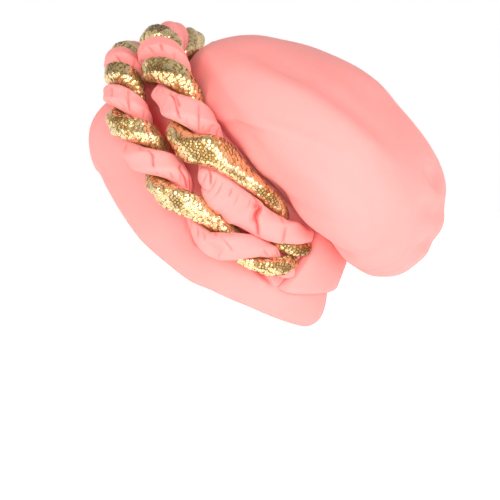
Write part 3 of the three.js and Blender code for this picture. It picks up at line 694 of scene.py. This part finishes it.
# %% Rope routes
FRONT_RADIUS, BACK_RADIUS = 17.5, 20.5
FRONT_HALF, BACK_HALF = 302.0, 276.3
STRAND_GAP, LOBE_WIDTH, GOLD_SHARE = 0.6, 0.74, 0.94
MIRRORED_CORAL_LIMIT = 1.12
FRONT_ROUTE = table("turn rise radius=1 depth=1 coral=1",
    (0, 57, 0.90), (24, 55.5, 0.90), (50.5, 47.5, 0.90), (59.2, 40.3, 0.95), (65, 31.5), (70, 25),
    (74.6, 19.4), (82.5, 10.4), (89.5, 2.2), (95.8, -6), (102.9, -14.2, 0.98, 0.98),
    (110.1, -20.4, 0.94, 0.96, 1.02), (118.7, -23.5, 0.86, 0.94, 1.05),
    (126.6, -25.9, 0.76, 0.92, 1.05), (134, -28.4, 0.68, 0.85), (141, -30.3, 0.6, 0.66, 0.95),
    (147.5, -31, 0.5, 0.4, 0.9))
BACK_ROUTE = table("turn rise radius=1 depth=1 coral=1",
    (0, 74, 0.9), (45, 68.4, 0.9), (78.7, 52, 0.93), (87.6, 41.8, 0.97), (95.7, 31.1),
    (102.1, 20.3), (110.2, 13, 1, 1.02, 0.97), (119, 4.2, 1, 0.86, 1.36),
    (127, -4.2, 0.97, 0.8, 1.45), (132.4, -11.1, 0.86, 0.8, 1.18), (138.2, -16.9, 0.7, 0.8, 1.05),
    (145, -20.2, 0.6, 0.7, 1.05), (152.5, -21.5, 0.5, 0.45, 1.05))
FRONT_TWIST = table("way half_turns",
    (0, -0.95), (0.066, 0), (0.168, 1), (0.254, 2), (0.332, 3), (0.417, 4), (0.523, 5),
    (0.648, 6), (0.745, 6.5), (0.835, 7), (0.905, 7.5), (0.96, 8), (1.03, 8.55))
BACK_TWIST = table("way half_turns",
    (0, -1.05), (0.155, 0), (0.262, 1), (0.35, 2), (0.47, 3), (0.537, 3.5), (0.608, 4),
    (0.689, 4.3), (0.777, 4.5), (0.841, 4.66), (0.8975, 4.9), (0.947, 5.2), (1.04, 5.6))
print("route rows:", len(FRONT_ROUTE), len(BACK_ROUTE))

# %% [markdown]
# ## Walking the routes
# The near half of a route is measured on the photograph and the far half is the same mirrored.
# The twist is not mirrored: it runs on over the top of the head, so both ends turn one way.

# %% Rope lines
ROPE_STEPS, WALK_POINTS = 861, 4001


def rope_line(route, full_radius, half, twist):
    keys = ("radius", "depth", "coral")
    side = np.array([[row[k] for k in keys] for row in route])
    turns, rises = np.array([(row["turn"], row["rise"]) for row in route], float).T
    radius = side[:, 0] * full_radius
    point = on_head(direction(turns, rises), radius * side[:, 1] + REST_GAP)
    other, mirrored = side[:0:-1].copy(), point[:0:-1] * np.array([-1, 1, 1])
    other[:, 2] = np.minimum(other[:, 2], MIRRORED_CORAL_LIMIT)
    point, side = np.concatenate([mirrored, point]), np.concatenate([other, side])
    fine = np.linspace(0, 1, WALK_POINTS)
    walk = centripetal(point, fine)
    length = np.concatenate([[0], np.cumsum(np.linalg.norm(np.diff(walk, axis=0), axis=1))])
    u = np.linspace(0, 1, ROPE_STEPS)
    t = np.interp(u * length[-1], length, fine)
    centre = centripetal(point, t)
    tangent = unit(np.gradient(centre, axis=0))
    normal = form_normal(centre)
    normal = unit(normal - tangent * (normal * tangent).sum(-1, keepdims=True))
    turned = spread(twist, "half_turns", "way", np.abs(u - 0.5) * length[-1] / half)
    turned = np.where(u >= 0.5, turned, 2 * twist[0]["half_turns"] - turned)
    knot = t * (len(point) - 1)
    mixed = {k: np.interp(knot, np.arange(len(point)), side[:, j]) for j, k in enumerate(keys)}
    return dict(centre=centre, normal=normal, across=np.cross(tangent, normal), half=half,
                length=length[-1], radius=mixed["radius"] * full_radius, depth=mixed["depth"],
                coral=mixed["coral"], phase=-np.pi * turned)


front_line = rope_line(FRONT_ROUTE, FRONT_RADIUS, FRONT_HALF, FRONT_TWIST)
back_line = rope_line(BACK_ROUTE, BACK_RADIUS, BACK_HALF, BACK_TWIST)
print("rope lengths:", round(front_line["length"]), round(back_line["length"]), "mm")

# %% [markdown]
# ## Strands
# A strand is a soft half-round lobe that turns round the rope line with the phase, its flat side
# against the other strand. The cloth strand is creased where it dives under the sequins; the
# sequinned one stays smooth, because its sequins hide small folds.

# %% Strand surface
FLAT_SIDE_FULLNESS, LOBE_FULLNESS = 0.62, 0.85
GOLD_GIVES = 0.5


def strand_surface(line, side, sides):
    """Points (station, side) of a strand: side 1 is the sequinned one, -1 the cloth one."""
    phase = (line["phase"] + (0 if side > 0 else np.pi))[:, None]
    out, fore = np.cos(phase), np.sin(phase)
    coral = line["coral"]
    share = GOLD_SHARE * (1 - GOLD_GIVES * (coral - 1)) if side > 0 else coral
    half = ((line["radius"] * share - STRAND_GAP / 2) / 2)[:, None]
    a = (np.arange(sides) * 2 * np.pi / sides)[None]
    e = STRAND_GAP / 2 + half + half * signed_power(np.cos(a), LOBE_FULLNESS)
    wide = signed_power(np.sin(a), np.where(np.cos(a) < 0, FLAT_SIDE_FULLNESS, 1))
    w = (line["radius"] * LOBE_WIDTH * (GOLD_SHARE if side > 0 else 1))[:, None] * wide
    away = (out * e - fore * w) * line["depth"][:, None]
    over = fore * e + out * w
    return (line["centre"][:, None] + line["normal"][:, None] * away[..., None]
            + line["across"][:, None] * over[..., None])


def closed_tube(name, grid):
    rows, columns = grid.shape[:2]
    faces = quads(rows, columns, True)
    first, last = rows * columns, rows * columns + 1
    for c in range(columns):
        d = (c + 1) % columns
        faces.append([d, c, first])
        faces.append([(rows - 1) * columns + c, (rows - 1) * columns + d, last])
    ends = np.stack([grid[0].mean(0), grid[-1].mean(0)])
    return link_mesh(name, np.concatenate([grid.reshape(-1, 3), ends]), faces)


print("a plain strand, stations by sides:", strand_surface(front_line, 1, 8).shape[:2])

# %% [markdown]
# ## Shaping and creasing the strands
# A place on a strand is named by its way along the rope, 0.5 at the top of the head and 1 at the
# left end, and its angle round the lobe, 0 where it stands out most. First the lobes get their own
# fuller and thinner stretches; then the cloth sleeve gets its pleats, which run round it and are
# deepest at the edges where the sequins cover it.

# %% Fuller and thinner places
FULLNESS = {
    "front_cloth_strand": table("line width depth",
        ([(0.882, -60), (0.893, -25), (0.903, 10)], 8, 5.0),
        ([(0.880, -130), (0.892, -110), (0.906, -78), (0.925, -30)], 7, -3.0)),
    "front_sequin_strand": table("line width depth",
        ([(0.795, -70), (0.815, -95), (0.84, -105), (0.86, -108)], 7, 1.8),
        ([(0.82, 40), (0.84, 75), (0.86, 100)], 6, 1.4),
        ([(0.838, 62), (0.852, 85), (0.867, 100), (0.882, 108)], 8, 3.2),
        ([(0.87, 80), (0.885, 95), (0.90, 115)], 7, 2.0)),
    "back_cloth_strand": table("line width depth",
        ([(0.685, -95), (0.697, -70), (0.708, -45), (0.722, -15)], 9, 4.5),
        ([(0.822, -145), (0.828, -110), (0.838, -80)], 8, -5.0),
        ([(0.835, -75), (0.855, -66), (0.875, -62)], 9, -5.5),
        ([(0.925, -60), (0.945, 0), (0.955, 40)], 8, -1.2)),
}
WAISTS = {"front_cloth_strand": [dict(way=0.842, spread=0.029, share=0.6)],
          "back_cloth_strand": [dict(way=0.714, spread=0.024, share=0.2)],
          "back_sequin_strand": [dict(way=0.848, spread=0.04, share=0.22)]}


def strand_line(grid, rope, line):
    way, angle = np.array(line, float).T
    share = 0.5 + (way - 0.5) * 2 * rope["half"] / rope["length"]
    return on_grid(grid, share * (len(grid) - 1), angle / 360 * grid.shape[1])


def shaped_strand(name, line, side, sides):
    grid = strand_surface(line, side, sides)
    way = 0.5 + np.linspace(-0.5, 0.5, len(grid)) * line["length"] / (2 * line["half"])
    for waist in WAISTS.get(name, []):
        keep = 1 - waist["share"] * np.exp(-((way - waist["way"]) / waist["spread"]) ** 2)
        centre = line["centre"][:, None]
        grid = centre + (grid - centre) * keep[:, None, None]
    for nudge in FULLNESS.get(name, []):
        grid = press(grid, strand_line(grid, line, nudge["line"]), nudge["width"], nudge["depth"])
    return grid


print("strands with waists:", sorted(WAISTS))

# %% [markdown]
# ## Pleats and creases
# Pulled cloth wrinkles in two ways. Small pleats lie close together where the sleeve is drawn in
# under the sequins; they are alike, so seeded draws place them. The long creases are the ones
# that the eye picks out in the photograph, so each has its own line.

# %% Creases and pleats
# Every pleat and crease also paints shade into the cloth, which the finish turns deep red.
CREASES = {
    "front_cloth_strand": table("line width depth lip=0.12",
        ([(0.668, -50), (0.684, 62), (0.692, 128)], 1.0, 1.5),
        ([(0.654, -85), (0.670, 29), (0.678, 120)], 0.9, 1.1),
        ([(0.753, -80), (0.762, -30), (0.771, 27), (0.783, 112)], 1.1, 1.7),
        ([(0.790, 20), (0.794, 55), (0.806, 96), (0.816, 125)], 1.1, 1.7),
        ([(0.797, 10), (0.803, 50), (0.813, 90), (0.822, 120)], 1.2, 0.9),
        ([(0.895, -95), (0.905, -45), (0.913, 0)], 1.0, 0.8)),
    "back_cloth_strand": table("line width depth lip=0.12",
        ([(0.715, -86), (0.723, -51), (0.746, 49), (0.754, 92)], 1.1, 1.6),
        ([(0.721, -78), (0.7365, -4), (0.7615, 121)], 1.0, 1.4),
        ([(0.746, -27), (0.7635, 63), (0.777, 141)], 1.0, 1.1),
        ([(0.754, -60), (0.772, 20), (0.785, 100)], 0.9, 0.9),
        ([(0.825, -147), (0.8327, -133), (0.8404, -108)], 1.1, 1.7),
        ([(0.893, -165), (0.9077, -129), (0.9154, -80), (0.925, -35),
          (0.937, 30)], 1.5, 3.2, 0.35),
        ([(0.899, -140), (0.909, -100), (0.916, -60)], 3.5, 1.2),
        ([(0.950, -40), (0.957, 10), (0.962, 60)], 1.6, 0.9),
        ([(0.643, 60), (0.646, 80), (0.650, 110)], 1.2, 1.2),
        ([(0.636, 66), (0.640, 90), (0.643, 112)], 1.1, 0.9)),
}
CREASE_ENDS = 0.25
PLEAT_FROM, PLEAT_TO = 0.01, 0.985
PLEAT_STEP = (4.5, 10.0)
PLEAT_DEPTH = (0.35, 0.95)
PLEAT_WIDTH = (0.8, 1.3)
PLEAT_EDGE, PLEAT_REACH = 138, (25, 75)
PLEAT_SLANT = 0.00016


def pleat(grid, rope, seed, painted_shade):
    """Small pleats round the sleeve, from both edges of the lobe toward its middle."""
    random = np.random.default_rng(seed)
    for edge in (-1, 1):
        way = PLEAT_FROM
        while way < PLEAT_TO:
            reach = random.uniform(*PLEAT_REACH)
            angles = edge * np.linspace(PLEAT_EDGE, PLEAT_EDGE - reach, 3)
            line = [(way + PLEAT_SLANT * (a - edge * PLEAT_EDGE), a) for a in angles]
            grid = press(grid, strand_line(grid, rope, line), random.uniform(*PLEAT_WIDTH),
                         random.uniform(*PLEAT_DEPTH), painted_shade=painted_shade)
            way += random.uniform(*PLEAT_STEP) / rope["length"]
    return grid


# %% The four strands
CLOTH_SIDES, GOLD_SIDES, GOLD_ROW_STEP = 72, 28, 2
strands = {}
for rope, line, seed in (("front", front_line, 18), ("back", back_line, 17)):
    name = rope + "_cloth_strand"
    grid = shaped_strand(name, line, -1, CLOTH_SIDES)
    painted_shade = np.zeros(grid.shape[:2])
    grid = pleat(grid, line, seed, painted_shade)
    for crease in CREASES[name]:
        grid = press(grid, strand_line(grid, line, crease["line"]), crease["width"],
                     crease["depth"], crease["lip"], ends=CREASE_ENDS, painted_shade=painted_shade)
    strands[name] = closed_tube(name, grid)
    keep_painted_shade(strands[name], painted_shade)
    name = rope + "_sequin_strand"
    strands[name] = closed_tube(name, shaped_strand(name, line, 1, GOLD_SIDES)[::GOLD_ROW_STEP])
for name, strand in strands.items():
    print(name, "faces:", len(strand.data.polygons))

# %% [markdown]
# ## Sequins
# The real strand is a cloth sleeve with round sequins sewn on so close that they overlap like
# scales. Each is 3 mm wide with a hole in the middle. They are laid here in rows round the lobe,
# each row half a step on from the last. The side against the other strand and the places that
# face the head carry none, because nothing shows there.

# %% Places for the sequins
SEQUIN_STEP, SEQUIN_ROW = 2.4, 2.15
SEQUIN_JITTER = 0.5
ROW_START, ROW_SHIFT = 0.25, 0.5
OPEN_SIDE, BURIED = 0.82, -0.3
FINE_SIDES = 180


def sequin_spots(grid, line, random):
    """Centre, normal, along direction and outwardness of each sequin on the open side."""
    normals = grid_normals(grid)
    along = unit(np.gradient(grid, axis=0))
    rows = max(int(line["length"] / SEQUIN_ROW), 2)
    open_side = np.abs(((np.arange(FINE_SIDES) * 2 / FINE_SIDES + 1) % 2) - 1) < OPEN_SIDE
    ring = np.where(open_side)[0]
    ring = ring[np.argsort((ring + FINE_SIDES // 2) % FINE_SIDES)]
    spots = []
    for k in range(rows):
        middle = (k + 0.5) / rows * (len(grid) - 1)
        p = grid[int(round(middle)), ring]
        way = np.concatenate([[0], np.cumsum(np.linalg.norm(np.diff(p, axis=0), axis=1))])
        goals = np.arange(SEQUIN_STEP * (ROW_START + ROW_SHIFT * (k % 2)), way[-1], SEQUIN_STEP)
        goals = goals + random.uniform(-SEQUIN_JITTER, SEQUIN_JITTER, len(goals))
        pick = np.clip(np.searchsorted(way, goals), 0, len(ring) - 1)
        stray = random.uniform(-SEQUIN_JITTER, SEQUIN_JITTER, len(goals))
        stray = stray / line["length"] * len(grid)
        for c, off in zip(ring[pick], stray):
            i = int(np.clip(round(middle + off), 0, len(grid) - 1))
            out = (line["normal"][i] * normals[i, c]).sum()
            if out > BURIED:
                spots.append((grid[i, c], normals[i, c], along[i, c], out))
    return [np.array(v) for v in zip(*spots)]


print("rows of sequins:", *(int(line["length"] / SEQUIN_ROW) for line in (front_line, back_line)))

# %% [markdown]
# ## Laying the sequins
# One sequin is a thin ring with a wedge section. Every one is tipped a little, because the tips
# are what makes them glitter. Each face also carries a tone value and an edge value for the
# finish. Both hold painted shade: the edges get a little everywhere, and in wavy patches that face
# straight out the edges turn dark and the foil a deeper brown, as painted dark reflection. The tone
# value also varies at random from sequin to sequin.

# %% Sequins
SEQUIN_WIDE, SEQUIN_RIM, SEQUIN_HOLE, SEQUIN_THICK = 2.9, 0.5, 0.8, 0.2
SEQUIN_SIDES, SEQUIN_WEDGE = 7, 0.7
SEQUIN_TIP, SEQUIN_LEAN = 0.11, 0.10
SEQUIN_SWAY, SEQUIN_SWAY_SIZE = 0.16, 26
SEQUIN_STANDOFF = 0.3
EDGE_SHADE_OUTSIDE_PATCHES = 0.12
# Patches of painted dark reflection on sequins that face straight out, and painted shade on edges.
PATCH_WAVE, PATCH_OUT, PATCH_FADE, PATCH_SHADE = 0.16, 0.88, 0.1, 0.35
TINT_STRAY, TINT_PAINTED_SHADE = 0.6, 0.4


def make_sequins(name, strand, line, seed):
    random = np.random.default_rng(seed)
    grid = shaped_strand(strand, line, 1, FINE_SIDES)
    place, normal, along, out = sequin_spots(grid, line, random)
    count, n = len(place), SEQUIN_SIDES
    turn = np.arange(n) * 2 * np.pi / n
    ring = np.stack([np.cos(turn), np.sin(turn), 0 * turn], -1)
    up = np.array([0, 0, SEQUIN_THICK / 2])
    shape = np.concatenate([ring * SEQUIN_WIDE / 2,
                            ring * (SEQUIN_WIDE / 2 - SEQUIN_RIM) + up * SEQUIN_WEDGE,
                            ring * SEQUIN_HOLE / 2 + up, ring * SEQUIN_HOLE / 2 - up])
    one = np.array([[a * n + c, a * n + (c + 1) % n, b * n + (c + 1) % n, b * n + c]
                    for a, b in ((0, 1), (1, 2), (2, 3), (3, 0)) for c in range(n)])
    # Painted shade on every sequin: rim and hole faces take it fully, flat faces take PATCH_SHADE
    # of it.
    edge_painted_shade = np.repeat([1.0, PATCH_SHADE, 1.0, PATCH_SHADE], n)
    tip = random.normal(0, SEQUIN_TIP, (2, count))
    lean = SEQUIN_LEAN + tip[0] + SEQUIN_SWAY * waves(place, SEQUIN_SWAY_SIZE, seed)
    aside = tip[1] + SEQUIN_SWAY * waves(place, SEQUIN_SWAY_SIZE, seed + 50)
    across = unit(np.cross(normal, along))
    z = unit(normal + along * lean[:, None] + across * aside[:, None])
    x = unit(np.cross(across, z))
    y = np.cross(z, x)
    laid = np.einsum("kj,cji->cki", shape, np.stack([x, y, z], 1))
    points = (place + normal * SEQUIN_STANDOFF)[:, None] + laid
    faces = (one[None] + (np.arange(count) * len(shape))[:, None, None]).reshape(-1, 4)
    piece = link_mesh(name, points.reshape(-1, 3), faces.tolist(), smooth=False)
    # Painted dark reflection: sequins that face straight out get dark edges and a deeper brown
    # foil.
    wave = PATCH_WAVE * waves(place, SEQUIN_SWAY_SIZE, seed + 90)
    dark_reflection_patch = smoothstep((out - PATCH_OUT + wave) / PATCH_FADE)
    edge_painted_shade = (EDGE_SHADE_OUTSIDE_PATCHES + (1 - EDGE_SHADE_OUTSIDE_PATCHES) * dark_reflection_patch[:, None]) * edge_painted_shade
    tone_and_shade = np.repeat(TINT_STRAY * random.uniform(0, 1, count) + TINT_PAINTED_SHADE * dark_reflection_patch, len(one))
    for key, value in (("tone_and_shade", tone_and_shade), ("edge", edge_painted_shade.reshape(-1))):
        attribute = piece.data.attributes.new(key, "FLOAT", "FACE")
        attribute.data.foreach_set("value", value.astype(np.float32))
    print(name, "sequins:", count)
    return piece


front_sequins = make_sequins("front_sequins", "front_sequin_strand", front_line, 11)
back_sequins = make_sequins("back_sequins", "back_sequin_strand", back_line, 12)

# %% [markdown]
# ## Writing a finish
# A finish is a graph of shader nodes. Wrapping a socket in a small class lets the graph be
# written as sums: each operator adds one Math node and returns the wrapped result. A second
# class holds a material and adds the nodes that are not plain sums.

# %% Shader maths
class Value:
    def __init__(self, tree, socket):
        self.tree = tree
        self.socket = socket

    def maths(self, operation, *inputs):
        node = self.tree.nodes.new("ShaderNodeMath")
        node.operation = operation
        for place, item in enumerate(inputs):
            if isinstance(item, Value):
                self.tree.links.new(item.socket, node.inputs[place])
            else:
                node.inputs[place].default_value = item
        return Value(self.tree, node.outputs[0])

    def __add__(self, other):
        return self.maths("ADD", self, other)

    def __radd__(self, other):
        return self.maths("ADD", other, self)

    def __sub__(self, other):
        return self.maths("SUBTRACT", self, other)

    def __rsub__(self, other):
        return self.maths("SUBTRACT", other, self)

    def __mul__(self, other):
        return self.maths("MULTIPLY", self, other)


MIX_COLOURS, MIX_RESULT = (6, 7), 2  # the Mix node has one set of sockets for each kind of data


# %% Finishes
class Finish:
    """A material on the Principled shader, with one method that adds any other node."""

    def __init__(self, name, **constants):
        self.material = bpy.data.materials.new(name)
        self.material.use_nodes = True
        self.tree = self.material.node_tree
        self.shader = self.tree.nodes["Principled BSDF"]
        for socket, value in constants.items():
            self.shader.inputs[socket.replace("_", " ")].default_value = value

    def node(self, kind, settings=None, inputs=None, output=0):
        made = self.tree.nodes.new(kind)
        for key, value in (settings or {}).items():
            setattr(made, key, value)
        for key, value in (inputs or {}).items():
            if isinstance(value, Value):
                self.tree.links.new(value.socket, made.inputs[key])
            else:
                made.inputs[key].default_value = value
        return Value(self.tree, made.outputs[output])

    def noise(self, scale, detail=2.0, roughness=0.5):
        place = self.node("ShaderNodeTexCoord", output="Object")
        return self.node("ShaderNodeTexNoise", {}, {"Vector": place, "Scale": scale,
                                                    "Detail": detail, "Roughness": roughness})

    def attribute(self, name):
        return self.node("ShaderNodeAttribute", {"attribute_name": name}, output="Fac")

    def blend(self, factor, first, second):
        mix = self.tree.nodes.new("ShaderNodeMix")
        mix.data_type = "RGBA"
        self.tree.links.new(factor.socket, mix.inputs[0])
        for place, color in zip(MIX_COLOURS, (first, second)):
            if isinstance(color, Value):
                self.tree.links.new(color.socket, mix.inputs[place])
            else:
                mix.inputs[place].default_value = (*color, 1)
        return Value(self.tree, mix.outputs[MIX_RESULT])

    def feed(self, socket, value):
        self.tree.links.new(value.socket, self.shader.inputs[socket])

    def bump(self, height, strength, distance):
        self.feed("Normal", self.node("ShaderNodeBump", {}, {"Height": height, "Strength": strength,
                                                             "Distance": distance}))


# %% [markdown]
# ## Crepe
# The cap is a smooth stretch crepe: matt, with a faint grain under a millimetre and a soft
# sheen at grazing light. Its colour shifts slightly in wide patches, as dyed cloth does. Painted
# shade turns it deep red in its creases, pleats and the gap between the ropes.

# %% Crepe finish
CORAL_LIGHT = (0.93, 0.305, 0.282)
CORAL_WARM = (0.93, 0.28, 0.26)
# Painted shade: the deep red that creases, pleats and the gap between the ropes are painted.
CORAL_PAINTED_SHADE = (0.50, 0.035, 0.03)


FOLD_SHADE = 0.95


def crepe(name):
    finish = Finish(name, Specular_IOR_Level=0.12, Sheen_Weight=0.12, Sheen_Roughness=0.5,
                    Subsurface_Weight=0.35, Subsurface_Scale=0.004,
                    Subsurface_Radius=(1, 0.22, 0.15), Sheen_Tint=(1, 0.72, 0.68, 1))
    fold = finish.attribute("fold")
    patches = finish.noise(scale=18, detail=3)
    grain = finish.noise(scale=1900, detail=2, roughness=0.6)
    weave = finish.noise(scale=700, detail=3, roughness=0.6)
    cloth = finish.blend(patches * 0.7 + grain * 0.3, CORAL_LIGHT, CORAL_WARM)
    # Painted shade: blend toward deep red where the fold attribute says a point lies deep in a
    # crease.
    finish.feed("Base Color", finish.blend(fold * FOLD_SHADE, cloth, CORAL_PAINTED_SHADE))
    finish.feed("Roughness", 0.72 + grain * 0.14)
    finish.bump(grain * 0.6 + weave * 0.4, strength=0.16, distance=0.0004)
    return finish.material


cap_crepe, rope_crepe = crepe("coral_crepe"), crepe("coral_crepe_rope")
print("shader nodes of the crepe:", len(cap_crepe.node_tree.nodes))

# %% [markdown]
# ## Gold
# The sequins are lacquered metal foil in a bright gold. Their edges are painted brown as shade,
# and so are the patches that face straight out, as painted dark reflection. The sleeve below them
# is a darker gold net, which shows as the brown line between the sequins.

# %% Gold finishes
FOIL_LIGHT, FOIL_DEEP, FOIL_EDGE_SHADE = (1.0, 0.84, 0.50), (0.84, 0.55, 0.20), (0.09, 0.035, 0.008)
NET_DARK, NET_LIGHT = (0.22, 0.10, 0.02), (0.50, 0.28, 0.06)


def gold_foil():
    finish = Finish("gold_foil", Metallic=0.85)
    tone_and_shade, edge = finish.attribute("tone_and_shade"), finish.attribute("edge")
    # Random tone mixed with painted dark reflection picks the gold; the edge value paints shade
    # dark brown.
    foil = finish.blend(tone_and_shade, FOIL_LIGHT, FOIL_DEEP)
    finish.feed("Base Color", finish.blend(edge, foil, FOIL_EDGE_SHADE))
    finish.feed("Roughness", 0.17 + tone_and_shade * 0.12 + edge * 0.2)
    return finish.material


def gold_net():
    finish = Finish("gold_net", Metallic=0.7)
    grain = finish.noise(scale=900, detail=3, roughness=0.6)
    finish.feed("Base Color", finish.blend(grain, NET_DARK, NET_LIGHT))
    finish.feed("Roughness", 0.45 + grain * 0.2)
    finish.bump(grain, strength=0.5, distance=0.0006)
    return finish.material


foil, net = gold_foil(), gold_net()
print("finishes:", [m.name for m in (cap_crepe, rope_crepe, foil, net)])

# %% [markdown]
# ## Dressing the frame
# Each fine piece takes its finish, rides on the one body and stands for the plain solid of the
# imported model that it refines.

# %% Ride and replace
DRESSING = [
    (band, cap_crepe, "cap_cloth", "headband"),
    (crown, cap_crepe, "cap_cloth", "crown"),
    (panel, cap_crepe, "cap_cloth", "nape_panel"),
    (strands["front_cloth_strand"], rope_crepe, "rope_cloth", "front_rope_coral"),
    (strands["back_cloth_strand"], rope_crepe, "rope_cloth", "back_rope_coral"),
    (strands["front_sequin_strand"], net, "sequin_cloth", "front_rope_gold"),
    (strands["back_sequin_strand"], net, "sequin_cloth", "back_rope_gold"),
    (front_sequins, foil, "sequin_cloth", None),
    (back_sequins, foil, "sequin_cloth", None),
]
for piece, finish, slot, node in DRESSING:
    piece.data.materials.append(finish)
    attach(piece, "root")
    if node:
        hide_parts(node)
print("pieces:", [piece.name for piece, *_ in DRESSING])

# %% [markdown]
# ## Floor and light
# A pale studio: a wide white floor well below the cap, a bright surround and three soft lights
# on the near side. That side is the lightest, and the top falls off a little.

# %% Floor and lights
FLOOR_DROP, FLOOR_HALF = 0.30, 12.0
LIGHT_AIM = Vector((0, 0.04, 0.04))
LIGHTS = table("name azimuth elevation distance width height power",
               ("key", 138, 10, 1.5, 0.7, 0.9, 13), ("fill", 66, 12, 1.7, 0.8, 1.2, 12),
               ("front", 104, 12, 1.9, 0.35, 0.55, 9))


def make_floor():
    half, level = FLOOR_HALF, cad_low.z - FLOOR_DROP
    mesh = bpy.data.meshes.new("floor")
    mesh.from_pydata([(-half, -half, level), (half, -half, level), (half, half, level),
                      (-half, half, level)], [], [(0, 1, 2, 3)])
    floor = add("floor", mesh)
    finish = Finish("white_floor", Base_Color=(0.93, 0.93, 0.93, 1), Roughness=0.9,
                    Emission_Color=(1, 1, 1, 1), Emission_Strength=0.6)
    floor.data.materials.append(finish.material)


def add_light(name, azimuth, elevation, distance, width, height, power):
    back = outward(azimuth, elevation)
    data = bpy.data.lights.new(name, "AREA")
    data.shape = "RECTANGLE"
    data.size, data.size_y = width, height
    data.energy = power
    light = add(name, data)
    light.location = LIGHT_AIM + back * distance
    light.rotation_euler = back.to_track_quat("Z", "Y").to_euler()


make_floor()
for row in LIGHTS:
    add_light(**row)
print("lights:", [row["name"] for row in LIGHTS])

# %% [markdown]
# ## The room
# Metal sequins show what is round them, so the surround matters as much as the lights. To the eye
# it is plain white. To the cap it is a room that is bright behind and at the sides, and dimmer
# above and on the near side, which gives the gold its darker tones.

# %% Surround
ROOM_BRIGHT, ROOM_NEAR_DROP, ROOM_TOP_DROP, NEAR_EASE = 0.86, 0.34, 0.48, 0.2


def make_world():
    world = bpy.data.worlds.new("studio")
    world.use_nodes = True
    bpy.context.scene.world = world
    tree = world.node_tree
    background = tree.nodes["Background"]
    place = tree.nodes.new("ShaderNodeTexCoord")
    apart = tree.nodes.new("ShaderNodeSeparateXYZ")
    tree.links.new(place.outputs["Generated"], apart.inputs[0])
    x, z = Value(tree, apart.outputs["X"]), Value(tree, apart.outputs["Z"])
    near = x.maths("SMOOTH_MIN", x.maths("MAXIMUM", x, 0), 1, NEAR_EASE)
    above = z.maths("MAXIMUM", z, 0)
    room = ROOM_BRIGHT - near * ROOM_NEAR_DROP - above * ROOM_TOP_DROP
    seen = tree.nodes.new("ShaderNodeLightPath")
    eye = Value(tree, seen.outputs["Is Camera Ray"])
    strength = eye + (1 - eye) * room
    tree.links.new(strength.socket, background.inputs["Strength"])
    background.inputs["Color"].default_value = (1, 1, 1, 1)
    bpy.context.scene.view_settings.view_transform = "Standard"
    bpy.context.scene.view_settings.look = "None"
    print("surround:", len(tree.nodes), "nodes")


make_world()
